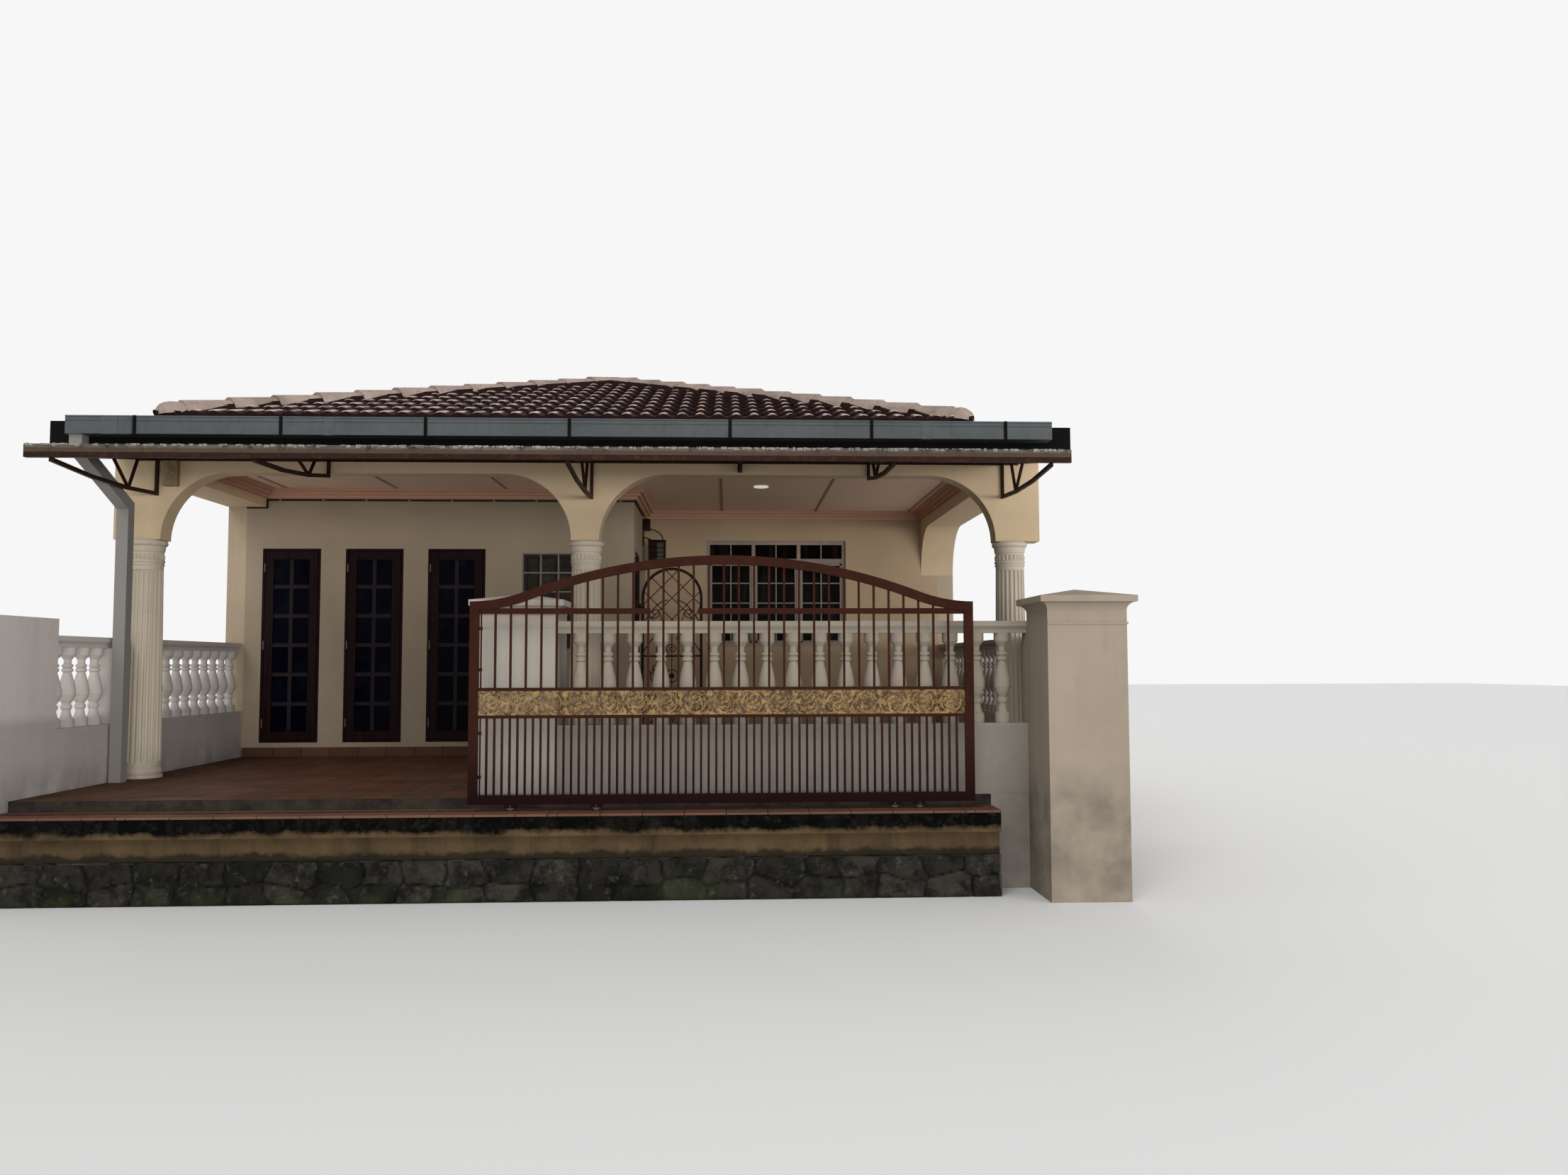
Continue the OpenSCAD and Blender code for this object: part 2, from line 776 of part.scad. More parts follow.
// Square cap with a cove under it, a low pyramid on top and a fillet round the neck below,
// on a pillar of w by d; the fillet stands out by open = [left, right, front, back]
module pillar_cap(w, d, over, open) {
    rise_h = 60;
    neck = 85;
    block(-w / 2 - open[0], w / 2 + open[1], -d / 2 - open[2], d / 2 + open[3],
        -neck - 2 * fillet, -neck);
    difference() {
        block(-w / 2 - cove, w / 2 + cove, -d / 2 - cove, d / 2 + cove, 0, cove);
        for (s = [-1, 1]) {
            translate([s * (w / 2 + cove), 0, 0]) rotate([90, 0, 0])
                cylinder(r = cove, h = d + 4 * cove, center = true);
            translate([0, s * (d / 2 + cove), 0]) rotate([0, 90, 0])
                cylinder(r = cove, h = w + 4 * cove, center = true);
        }
    }
    translate([0, 0, cove]) {
        block(-w / 2 - over, w / 2 + over, -d / 2 - over, d / 2 + over, 0, cap_slab);
        translate([0, 0, cap_slab]) intersection() {
            along_y(-d / 2 - over, d / 2 + over)
                polygon([[-w / 2 - over, 0], [w / 2 + over, 0], [0, rise_h]]);
            along_x(-w / 2 - over, w / 2 + over)
                polygon([[-d / 2 - over, 0], [d / 2 + over, 0], [0, rise_h]]);
        }
    }
}

module middle_pillar() {
    cap_z = porch_z + pillar_h;
    color("whitesmoke") {
        block(middle_x1 - pillar_w, middle_x1, fence_y, fence_y + pillar_w, porch_z, cap_z);
        translate([middle_x1 - pillar_w / 2, fence_y + pillar_w / 2, cap_z])
            pillar_cap(pillar_w, pillar_w, (cap_w - pillar_w) / 2, [fillet, 0, fillet, fillet]);
    }
}

module right_pillar() {
    cap_z = porch_z + pillar_h;
    color("whitesmoke") {
        block(right_x0, half_w, fence_y - pillar_proud, fence_y, 0, cap_z);
        translate([right_x0 + pillar_w / 2, fence_y - pillar_proud / 2, cap_z])
            pillar_cap(pillar_w, pillar_proud, (cap_w - pillar_w) / 2,
                [0, fillet, fillet, 0]);
    }
}

boundary_front = fence_y - 200;
solid_end = -1130;
bay_end = -310;
solid_h = 1350;

// Boundary wall with its balustrade bays; side is -1 or 1, back its rear end
module boundary(side, front, back) {
    wall_x = side * (half_w - party_t / 2);
    base_z = porch_z - slab_t;
    low_z = porch_z + side_wall_h;
    rail_z = low_z + side_baluster_h;
    difference() {
        union() {
            translate([wall_x, 0, 0]) {
                block(-party_t / 2, party_t / 2, fence_y, solid_end, base_z, porch_z + solid_h);
                if (front < fence_y)
                    block(-party_t / 2, party_t / 2, front, fence_y, ledge_z, porch_z + solid_h);
                block(-party_t / 2, party_t / 2, solid_end, back, base_z, low_z);
                block(-party_t / 2, party_t / 2, bay_end, 0, low_z, rail_z);
                translate([0, solid_end, rail_z]) rotate([90, 0, 180])
                    linear_extrude(back - solid_end) rail_section();
                translate([0, 0, low_z]) rotate([0, 0, 90]) {
                    baluster_row(solid_end, bay_end, side_baluster_h);
                    baluster_row(arcade_t + 100, back, side_baluster_h);
                }
            }
        }
        translate([side * column_x, column_y, base_z - eps])
            cylinder(r = base_r + seat, h = column_h);
    }
}

module left_boundary_wall() {
    color("whitesmoke") boundary(-1, boundary_front, porch_d);
}

module right_boundary_wall() {
    color("whitesmoke") boundary(1, fence_y, recess_y);
}

// Sliding gate

gate_gap = 60;
gate_z0 = ledge_z + gate_gap;
gate_z1 = gate_z0 + gate_end_h;
gate_x1 = gate_x + gate_w;
gate_mid = (gate_x + gate_x1) / 2;
arch_half = gate_w / 2;
arch_angle = 2 * atan(gate_rise / arch_half);
arch_sum = arch_half / sin(arch_angle);
ogee_r = 0.215 * arch_sum;
crown_r = arch_sum - ogee_r;
rail_t = 22;
// Height of the lower bars' field
lower_h = 643;
band_z0 = gate_z0 + lower_h;
band_z1 = band_z0 + band_gap;
top_rail_h = 42;
top_rail_z = gate_z1 - top_rail_h - 50;
// Half the thickness of the inner rails, and the wall of a roller housing
rail_half = 12;
housing = 12;
// Stretch of the top rail that has broken away
top_rail_gap = [gate_x + 1312, gate_x + 1664];
roller_x = [-294, 326, 2511, 2694];
roller_r = 30;
roller_z = ledge_z + track_h + roller_r;

// Height of the gate's top edge at x
function gate_top(x) =
    let (u = abs(x - gate_mid), turn = crown_r * sin(arch_angle))
    u < turn
        ? gate_z1 + gate_rise - crown_r + sqrt(crown_r * crown_r - u * u)
        : gate_z1 + ogee_r - sqrt(ogee_r * ogee_r - pow(arch_half - u, 2));

// Band between two circles within an angle a from straight up
module arc_band(r0, r1, a0, a1) {
    far = 1.2 * r1;
    intersection() {
        difference() {
            circle(r1, $fn = 180);
            circle(r0, $fn = 180);
        }
        polygon([[0, 0], [far * sin(a0), far * cos(a0)], [far * sin(a1), far * cos(a1)]]);
    }
}

module gate_outline() {
    translate([gate_mid, gate_z1 + gate_rise - crown_r])
        arc_band(crown_r - gate_tube, crown_r, -arch_angle, arch_angle);
    for (s = [-1, 1])
        translate([gate_mid + s * arch_half, gate_z1 + ogee_r]) mirror([0, 1])
            arc_band(ogee_r, ogee_r + gate_tube, -s * arch_angle, 0);
}

module gate_frame() {
    x0 = gate_x + gate_tube;
    x1 = gate_x1 - gate_tube;
    bars = floor((x1 - x0) / gate_bar_pitch);
    first = (x0 + x1) / 2 - bars * gate_bar_pitch / 2;
    y0 = gate_y - gate_t / 2;
    y1 = gate_y + gate_t / 2;
    color("maroon") difference() {
        union() {
            block(gate_x, x0, y0, y1, gate_z0, gate_z1);
            block(x1, gate_x1, y0, y1, gate_z0, gate_z1);
            block(x0, x1, y0, y1, gate_z0, gate_z0 + gate_tube);
            along_y(y0, y1) gate_outline();
            for (z = [band_z0 - rail_t, band_z1])
                block(x0, x1, gate_y - rail_half, gate_y + rail_half, z, z + rail_t);
            for (x = [[x0, top_rail_gap[0]], [top_rail_gap[1], x1]])
                block(x[0], x[1], gate_y - rail_half, gate_y + rail_half,
                    top_rail_z, top_rail_z + top_rail_h);
            for (x = roller_x)
                block(x - roller_r - housing, x + roller_r + housing, y0, y1,
                    roller_z - housing, gate_z0);
            for (i = [1 : bars - 1])
                gate_bar_at(first + i * gate_bar_pitch, gate_z0 + gate_tube, band_z0 - rail_t);
            for (i = [2 : 2 : bars - 1])
                gate_bar_at(first + i * gate_bar_pitch, band_z1 + rail_t,
                    gate_top(first + i * gate_bar_pitch) - 0.5 * gate_tube);
        }
        for (x = roller_x)
            roller_cut(x);
    }
}

module gate_bar_at(x, z0, z1) {
    block(x - gate_bar / 2, x + gate_bar / 2, gate_y - gate_bar / 2, gate_y + gate_bar / 2, z0, z1);
}

module roller_cut(x) {
    block(x - roller_r - 6, x + roller_r + 6, gate_y - 13, gate_y + 13,
        roller_z - roller_r, roller_z + roller_r + 6);
    translate([x, gate_y, roller_z]) rotate([90, 0, 0])
        cylinder(r = 5 + seat, h = gate_t + 2 * eps, center = true);
}

module gate_rollers() {
    color("dimgray") for (x = roller_x)
        translate([x, gate_y, roller_z]) rotate([90, 0, 0]) {
            cylinder(r = roller_r, h = 20, center = true);
            cylinder(r = 5, h = gate_t, center = true);
        }
}

// One round motif of the ornament band: an S of two half rings in a ring
module scroll(h) {
    t = 0.07 * h;
    r = 0.41 * h;
    ring(r, t);
    for (s = [-1, 1])
        translate([0, s * r / 2]) {
            intersection() {
                ring(r / 2, t);
                translate([s > 0 ? 0 : -r, -r]) square([r, 2 * r]);
            }
            translate([-s * 0.16 * r, 0]) circle(0.17 * r, $fn = 24);
            translate([s * 0.17 * r, 0]) square([0.7 * r, 0.5 * t], center = true);
        }
}

// A ring of middle radius r and width t
module ring(r, t) {
    difference() {
        circle(r + t / 2);
        circle(r - t / 2);
    }
}

module gate_ornament() {
    x0 = gate_x + gate_tube;
    x1 = gate_x1 - gate_tube;
    h = band_z1 - band_z0;
    count = 17;
    step = (x1 - x0) / count;
    edge = 0.08 * h;
    color("gold") along_y(gate_y - 4, gate_y + 4) {
        for (z = [band_z0, band_z1 - edge])
            translate([x0, z]) square([x1 - x0, edge]);
        for (i = [0 : count - 1])
            translate([x0 + (i + 0.5) * step, (band_z0 + band_z1) / 2]) scroll(h);
        for (i = [0 : count])
            intersection() {
                translate([x0, band_z0]) square([x1 - x0, h]);
                translate([x0 + i * step, (band_z0 + band_z1) / 2]) {
                    square([0.1 * h, h], center = true);
                    for (s = [-1, 1]) {
                        translate([0, s * 0.34 * h]) circle(0.13 * h, $fn = 24);
                        translate([s * 0.1 * h, 0]) circle(0.08 * h, $fn = 24);
                    }
                }
            }
    }
}

// Glazed doors

jamb = 25;
leaf_gap = 5;
free_gap = 8;
leaf_t = 40;
leaf_in = 3;
frame_d = 80;
stile = 88;
muntin = 40;
door_glass_t = 5;
pin_r = 3;
knuckle_r = 7;
pin_y = porch_d - knuckle_r - 0.5;
leaf_w = door_w - 2 * jamb - leaf_gap - free_gap;
leaf_h = door_h - 2 * jamb - 2 * leaf_gap;
leaf_z = door_z + jamb + leaf_gap;
hinge_z = [leaf_z + 180, leaf_z + leaf_h / 2, leaf_z + leaf_h - 180];
knuckle_h = 30;

module door_frame(x) {
    difference() {
        block(x, x + door_w, porch_d, porch_d + frame_d, door_z, door_z + door_h);
        block(x + jamb, x + door_w - jamb, porch_d - eps, porch_d + leaf_in + leaf_t + leaf_gap,
            door_z + jamb, door_z + door_h - jamb);
        block(x + jamb + 12, x + door_w - jamb - 14, porch_d, porch_d + frame_d + eps,
            door_z + jamb + 12, door_z + door_h - jamb - 12);
    }
    for (z = hinge_z)
        translate([x + jamb + leaf_gap / 2, pin_y, z]) {
            cylinder(r = pin_r, h = 3 * knuckle_h, center = true);
            for (s = [-1, 1])
                translate([0, 0, s * (knuckle_h + 0.5)]) {
                    cylinder(r = knuckle_r, h = knuckle_h, center = true);
                    translate([-20, porch_d - pin_y - 4, -knuckle_h / 2]) cube([20, 4, knuckle_h]);
                }
        }
}

module door_frames() {
    color("maroon") for (i = [0 : 2])
        door_frame(door_x + i * door_pitch);
}

module door_leaf(x) {
    x0 = x + jamb + leaf_gap;
    x1 = x0 + leaf_w;
    y0 = porch_d + leaf_in;
    y1 = y0 + leaf_t;
    z1 = leaf_z + leaf_h;
    pane_h = (leaf_h - 2 * stile - 5 * muntin) / 6;
    mid = (x0 + x1) / 2;
    glass_y = (y0 + y1) / 2;
    difference() {
        union() {
            difference() {
                block(x0, x1, y0, y1, leaf_z, z1);
                block(x0 + stile, x1 - stile, y0 - eps, y1 + eps, leaf_z + stile, z1 - stile);
            }
            block(mid - muntin / 2, mid + muntin / 2, y0 + 4, y1 - 4, leaf_z + stile, z1 - stile);
            for (i = [1 : 5]) {
                z = leaf_z + stile + i * (pane_h + muntin) - muntin;
                block(x0 + stile, x1 - stile, y0 + 4, y1 - 4, z, z + muntin);
            }
        }
        block(x0 + stile, x1 - stile, glass_y - door_glass_t / 2, glass_y + door_glass_t / 2,
            leaf_z + stile, z1 - stile);
    }
    for (z = hinge_z)
        difference() {
            union() {
                translate([x0 - leaf_gap / 2, pin_y, z])
                    cylinder(r = knuckle_r, h = knuckle_h, center = true);
                block(x0, x0 + 20, pin_y + 3.5, y0, z - knuckle_h / 2, z + knuckle_h / 2);
            }
            translate([x0 - leaf_gap / 2, pin_y, z])
                cylinder(r = pin_r + seat, h = 2 * knuckle_h, center = true);
        }
}

module door_glass(x) {
    x0 = x + jamb + leaf_gap + stile;
    x1 = x0 + leaf_w - 2 * stile;
    mid = porch_d + leaf_in + leaf_t / 2;
    color("black") block(x0, x1, mid - door_glass_t / 2, mid + door_glass_t / 2,
        leaf_z + stile, leaf_z + leaf_h - stile);
}

module left_door() {
    color("maroon") door_leaf(door_x);
}

module middle_door() {
    color("maroon") door_leaf(door_x + door_pitch);
}

module right_door() {
    color("maroon") door_leaf(door_x + 2 * door_pitch);
}

module left_door_glass() door_glass(door_x);
module middle_door_glass() door_glass(door_x + door_pitch);
module right_door_glass() door_glass(door_x + 2 * door_pitch);

// Windows

sash = 45;
window_d = 60;
// Depth of a window frame behind the wall's face
window_in = 40;
glass_t = 6;

// Window frame in an opening, with its panes' bars as mullions
module window_frame(x, w, z0, h, y, bays) {
    bay = (w - sash) / bays;
    difference() {
        block(x, x + w, y, y + window_d, z0, z0 + h);
        for (i = [0 : bays - 1])
            block(x + sash + i * bay, x + (i + 1) * bay, y - eps, y + window_d + eps,
                z0 + sash, z0 + h - sash);
    }
}

module window_pane(x, w, z0, h, y) {
    block(x + sash, x + w - sash, y + window_d, y + window_d + glass_t, z0 + sash, z0 + h - sash);
}

module window_frames() {
    color("lightgray") {
        window_frame(window_x, window_w, window_top - window_h, window_h, recess_y + window_in, 3);
        window_frame(small_x, small_w, small_top - small_h, small_h, porch_d + window_in, 1);
        window_frame(rear_window_x, rear_window_w, head_z - rear_window_h, rear_window_h,
            house_d - window_in - window_d, 2);
    }
}

module window_glass() {
    color("black") {
        window_pane(window_x, window_w, window_top - window_h, window_h, recess_y + window_in);
        window_pane(small_x, small_w, small_top - small_h, small_h, porch_d + window_in);
        window_pane(rear_window_x, rear_window_w, head_z - rear_window_h, rear_window_h,
            house_d - window_in - 2 * window_d - glass_t);
    }
}

// Entrance

post = 50;
post_x = return_x + post / 2;
post_y = entrance_y - post / 2 - 10;
post_foot = 40;
iron_knuckle_r = 8;
iron_pin_x = post_x + post / 2 + iron_knuckle_r;
iron_pin_y = post_y + post / 2 - iron_knuckle_r;
iron_gap = 13;
grille_t = 24;
grille_bar = 10;
grille_edge = 30;
grille_z0 = porch_z + 15;
grille_hinges = [grille_z0 + 250, grille_z0 + grille_h - 450];

module iron_pin(z) {
    translate([iron_pin_x, iron_pin_y, z]) {
        cylinder(r = pin_r, h = 3 * knuckle_h, center = true);
        for (s = [-1, 1])
            translate([0, 0, s * (knuckle_h + 0.5)]) {
                cylinder(r = iron_knuckle_r, h = knuckle_h, center = true);
                translate([-iron_knuckle_r - 5, -4, -knuckle_h / 2])
                    cube([iron_knuckle_r + 5, 8, knuckle_h]);
            }
    }
}

module grille_post() {
    top = porch_z + grille_h + 90;
    color("black") {
        block(post_x - post / 2, post_x + post / 2, post_y - post / 2, post_y + post / 2,
            porch_z, top);
        translate([post_x, post_y, top + 25]) sphere(r = post / 2);
        translate([post_x, post_y, top]) cylinder(r = post / 4, h = 25);
        for (z = grille_hinges)
            iron_pin(z);
    }
}

module iron_outline(edge) {
    head_r = grille_w / 2;
    spring = grille_h - head_r;
    translate([edge, edge]) square([grille_w - 2 * edge, spring - edge]);
    translate([head_r, spring]) circle(head_r - edge, $fn = 64);
}

// Drawing of the leaf's thin bars: lattice in the round head, bars and scrolls below
module iron_bars() {
    head_r = grille_w / 2;
    spring = grille_h - head_r;
    inner_r = head_r - grille_edge / 2;
    b = grille_bar;
    rose_z = 0.41 * grille_h;
    translate([head_r, spring]) {
        ring(inner_r, b);
        intersection() {
            circle(inner_r);
            for (a = [-45, 45])
                for (i = [-1 : 1])
                    rotate(a) translate([0.5 * i * head_r, 0])
                        square([b, 2 * head_r], center = true);
        }
    }
    for (i = [1 : 3])
        translate([i * grille_w / 4 - b / 2, grille_edge / 2])
            square([b, spring - (i == 2 ? inner_r : 0.82 * inner_r) - grille_edge / 2]);
    for (z = [rose_z - 230, rose_z + 210])
        translate([grille_edge / 2, z]) square([grille_w - grille_edge, 2 * b]);
    for (i = [1 : 3])
        translate([i * grille_w / 4, rose_z]) ring(0.2 * head_r, b);
    translate([head_r, rose_z]) circle(0.09 * head_r);
    for (i = [0.5 : 1 : 3.5])
        translate([i * grille_w / 4, 0.15 * grille_h]) ring(grille_w / 8 - 2, b);
}

module grille_leaf() {
    color("black") difference() {
        union() {
            translate([iron_pin_x + iron_gap, 0, grille_z0]) {
                along_y(iron_pin_y - grille_t / 2, iron_pin_y + grille_t / 2) difference() {
                    iron_outline(0);
                    iron_outline(grille_edge);
                }
                along_y(iron_pin_y - grille_bar / 2, iron_pin_y + grille_bar / 2) intersection() {
                    iron_outline(grille_edge / 2);
                    iron_bars();
                }
            }
            for (z = grille_hinges)
                translate([iron_pin_x, iron_pin_y, z]) {
                    cylinder(r = iron_knuckle_r, h = knuckle_h, center = true);
                    translate([0, -4, -knuckle_h / 2]) cube([iron_gap + 5, 8, knuckle_h]);
                }
        }
        for (z = grille_hinges)
            translate([iron_pin_x, iron_pin_y, z])
                cylinder(r = pin_r + seat, h = 2 * knuckle_h, center = true);
    }
}

// Thickness of the entrance and rear door leaves, and how far they stand back
solid_leaf_t = 50;
solid_leaf_in = 60;

module entrance_door() {
    x = return_x - solid_leaf_in;
    color("maroon") block(x - solid_leaf_t, x, entrance_y, entrance_y + entrance_w,
        house_z, door_z + door_h);
}

module rear_door() {
    y = house_d - solid_leaf_in;
    color("maroon") block(rear_door_x, rear_door_x + rear_door_w, y - solid_leaf_t, y,
        house_z, head_z);
}

// Fittings

downlight = [return_x + 1390, 1980];
downlight_r = 75;
downlight_t = 12;
lamp_y = 3650;
lamp = [200, 180, 280];
lamp_z = porch_z + 2200;
lamp_frame = 14;
// Scroll arm, wall plate and junction box of the lantern
arm_r = 180;
arm_t = 14;
plate_w = 60;
plate_t = 12;
lamp_box = [90, 120, 137];
box_up = 126;

module porch_lights() {
    lamp_x = return_x + 75;
    top = lamp_z + lamp.z;
    color("black") {
        translate([downlight.x, downlight.y, ceiling_z - downlight_t])
            cylinder(r = downlight_r, h = downlight_t);
        translate([return_x, lamp_y - lamp_box.y / 2, top + box_up]) cube(lamp_box);
        block(return_x, return_x + plate_t, lamp_y - plate_w / 2, lamp_y + plate_w / 2,
            top - plate_w, top + box_up);
        translate([return_x, 0, top - arm_r + tube]) rotate([90, 0, 0])
            translate([0, 0, -lamp_y - arm_t / 2]) linear_extrude(arm_t) intersection() {
                ring(arm_r, arm_t);
                square(1.1 * arm_r);
            }
        translate([lamp_x, lamp_y - lamp.y / 2, lamp_z]) difference() {
            cube(lamp);
            translate([1, 1, 1] * lamp_frame) cube(lamp - 2 * lamp_frame * [1, 1, 1]);
            translate([-eps, lamp_frame, 2 * lamp_frame])
                cube([lamp.x + 2 * eps, lamp.y - 2 * lamp_frame, lamp.z - 4 * lamp_frame]);
            translate([lamp_frame, -eps, 2 * lamp_frame])
                cube([lamp.x - 2 * lamp_frame, lamp.y + 2 * eps, lamp.z - 4 * lamp_frame]);
        }
    }
}

junction_w = 120;
junction_x = bracket_x[0] + 70;
junction_z = ceiling_z - 335;
junction_h = 225;

module conduit() {
    t = 16;
    z = ceiling_z - cornice_h - 10 - t;
    beam_z = ceiling_z - left_beam_h;
    color("gray") {
        block(junction_x, junction_x + junction_w, -55, 0, junction_z, junction_z + junction_h);
        block(-inner_x, -beam_x + t, porch_d - t, porch_d, beam_z - t, beam_z);
        block(-beam_x, -beam_x + t, porch_d - t, porch_d, beam_z - t, z + t);
        block(-beam_x, return_x + t, porch_d - t, porch_d, z, z + t);
        block(return_x, return_x + t, porch_d - t, lamp_y - lamp_box.y / 2, z, z + t);
    }
}

rubble_footing();
plinth_band();
porch_floor();
house_floor();
front_ledge();
gate_track();
left_party_wall();
right_party_wall();
rear_wall();
living_room_wall();
entrance_wall();
bedroom_wall();
arcade();
left_column();
middle_column();
right_column();
left_side_beam();
right_side_arch();
ceiling();
cornice();
front_roof();
left_roof();
right_roof();
rear_roof();
ridge_caps();
eaves_boards();
gutter();
downpipe();
awning_frame();
awning_sheet();
awning_brackets();
front_fence();
middle_pillar();
right_pillar();
left_boundary_wall();
right_boundary_wall();
gate_frame();
gate_ornament();
gate_rollers();
door_frames();
left_door();
middle_door();
right_door();
left_door_glass();
middle_door_glass();
right_door_glass();
window_frames();
window_glass();
grille_leaf();
grille_post();
entrance_door();
rear_door();
porch_lights();
conduit();
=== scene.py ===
"""Looks of the bungalow: materials, roof tiles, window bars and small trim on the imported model."""
import json
import random
from math import cos, hypot, pi, radians, sin, tan

import bmesh
import bpy
from mathutils import Matrix, Vector, noise


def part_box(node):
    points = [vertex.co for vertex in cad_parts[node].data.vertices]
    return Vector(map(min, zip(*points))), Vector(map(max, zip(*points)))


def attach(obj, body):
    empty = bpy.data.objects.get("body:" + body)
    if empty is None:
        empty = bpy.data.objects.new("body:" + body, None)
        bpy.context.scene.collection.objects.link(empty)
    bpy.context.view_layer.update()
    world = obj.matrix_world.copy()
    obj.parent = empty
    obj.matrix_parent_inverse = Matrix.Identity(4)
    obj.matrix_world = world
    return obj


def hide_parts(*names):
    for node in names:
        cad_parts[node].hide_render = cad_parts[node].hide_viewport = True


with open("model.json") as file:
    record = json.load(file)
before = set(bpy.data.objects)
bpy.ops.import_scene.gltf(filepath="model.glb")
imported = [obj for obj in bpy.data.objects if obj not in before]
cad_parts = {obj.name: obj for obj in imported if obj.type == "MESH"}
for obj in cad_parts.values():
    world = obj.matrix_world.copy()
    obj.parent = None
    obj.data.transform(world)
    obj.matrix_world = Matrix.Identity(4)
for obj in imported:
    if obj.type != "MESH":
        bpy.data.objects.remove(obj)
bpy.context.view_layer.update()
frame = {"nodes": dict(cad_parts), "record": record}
nodes = frame["nodes"]
rng = random.Random(7)

# Sizes in metres, the same as in the part's source
HALF_W = 4.13
INNER_X = 3.935
BEAM_X = 3.725
EAVES_FRONT, EAVES_REAR = -1.0, 11.6
CEILING_Z = 3.6
PORCH_Z = 0.70
PORCH_D, RECESS_Y, HOUSE_D = 2.345, 4.10, 11.0
RETURN_X = 0.25
PITCH = radians(18)
ROOF_W = 3.28
ROOF_T, BUTT, GAUGE = 0.075, 0.030, 0.335
LEDGE_Z, LEDGE_FRONT, LEDGE_BACK, LEDGE_X = 0.61, -2.04, -1.70, 3.26
GATE_X0, GATE_X1, GATE_Y = -0.6, 3.105, -1.87
GATE_Z, GATE_TUBE, GATE_END = 0.67, 0.066, 2.144
BAND_Z0, BAND_Z1 = 1.313, 1.491
AWNING_D, AWNING_Z, AWNING_FALL = 1.67, 3.54, 0.27
DOOR_X, DOOR_PITCH, PIN_DX, PIN_Y = -3.755, 0.885, 0.0275, 2.3375
EAVES_Z = CEILING_Z + (ROOF_T + BUTT) / cos(PITCH)


# Material building

class Graph:
    """A material's node tree, with one short method for each kind of node."""

    def __init__(self, name, rough=0.6, metallic=0.0, gloss=0.5):
        self.mat = bpy.data.materials.new(name)
        self.mat.use_nodes = True
        self.tree = self.mat.node_tree
        self.bsdf = self.tree.nodes["Principled BSDF"]
        for socket, number in (("Roughness", rough), ("Metallic", metallic),
                               ("Specular IOR Level", gloss)):
            self.bsdf.inputs[socket].default_value = number
        self.place = self.add("ShaderNodeTexCoord", "Object")

    def put(self, socket, value):
        if isinstance(value, bpy.types.NodeSocket):
            self.tree.links.new(value, socket)
        else:
            socket.default_value = (*value, 1) if socket.type == "RGBA" else value

    def add(self, kind, out, inputs=(), **settings):
        """A node with these inputs and settings. Returns one of its outputs."""
        node = self.tree.nodes.new(kind)
        for name, value in settings.items():
            setattr(node, name, value)
        for socket, value in inputs:
            self.put(node.inputs[socket], value)
        return node.outputs[out]

    def noise(self, scale, detail=4, rough=0.55, stretch=None):
        place = self.place
        if stretch:
            place = self.add("ShaderNodeMapping", "Vector", (("Vector", place), ("Scale", stretch)))
        return self.add("ShaderNodeTexNoise", "Fac", (("Vector", place), ("Scale", scale),
                                                      ("Detail", detail), ("Roughness", rough)))

    def span(self, value, low, high, to_low=0.0, to_high=1.0):
        return self.add("ShaderNodeMapRange", "Result", (
            ("Value", value), ("From Min", low), ("From Max", high),
            ("To Min", to_low), ("To Max", to_high)))

    def spots(self, scale, detail, low, high, most=1.0, rough=0.55, stretch=None):
        """Noise as spots that set in between low and high and reach most."""
        return self.span(self.noise(scale, detail, rough, stretch), low, high, 0.0, most)

    def cells(self, scale, feature="F1", out="Distance"):
        return self.add("ShaderNodeTexVoronoi", out, (("Vector", self.place), ("Scale", scale)),
                        feature=feature)

    def math(self, kind, a, b=0.0):
        return self.add("ShaderNodeMath", 0, ((0, a), (1, b)), operation=kind)

    def mix(self, a, b, factor):
        return self.add("ShaderNodeMix", 2, (("Factor", factor), (6, a), (7, b)), data_type="RGBA")

    def times(self, a, b):
        return self.math("MULTIPLY", a, b)

    def spotted(self, base, color, scale, detail, low, high, most=1.0, rough=0.55):
        """A colour with spots of another."""
        return self.mix(base, color, self.spots(scale, detail, low, high, most, rough))

    def axis(self, name):
        return self.add("ShaderNodeSeparateXYZ", name, ((0, self.place),))

    def attribute(self, name):
        return self.add("ShaderNodeAttribute", "Fac", attribute_name=name)

    def upward(self):
        """1 on faces that look up, 0 on upright ones."""
        normal = self.add("ShaderNodeNewGeometry", "Normal")
        return self.span(self.add("ShaderNodeSeparateXYZ", "Z", ((0, normal),)), 0.5, 0.9)

    def at_small_window(self):
        """1 in the porch's left half, where the small window is, 0 elsewhere."""
        return self.times(self.math("LESS_THAN", self.axis("X"), 0.0),
                          self.math("LESS_THAN", self.axis("Y"), 3.0))

    def bump(self, height, strength, depth):
        self.put(self.bsdf.inputs["Normal"], self.add("ShaderNodeBump", "Normal", (
            ("Strength", strength), ("Distance", depth), ("Height", height))))

    def finish(self, color, rough=None):
        self.put(self.bsdf.inputs["Base Color"], color)
        if rough is not None:
            self.put(self.bsdf.inputs["Roughness"], rough)
        return self.mat


def shade(color, factor):
    return tuple(min(1.0, c * factor) for c in color)


WALL_DIRT = (0.17, 0.145, 0.115)
WALL_FOOT_H, METAL_FOOT_H = 0.30, 0.55


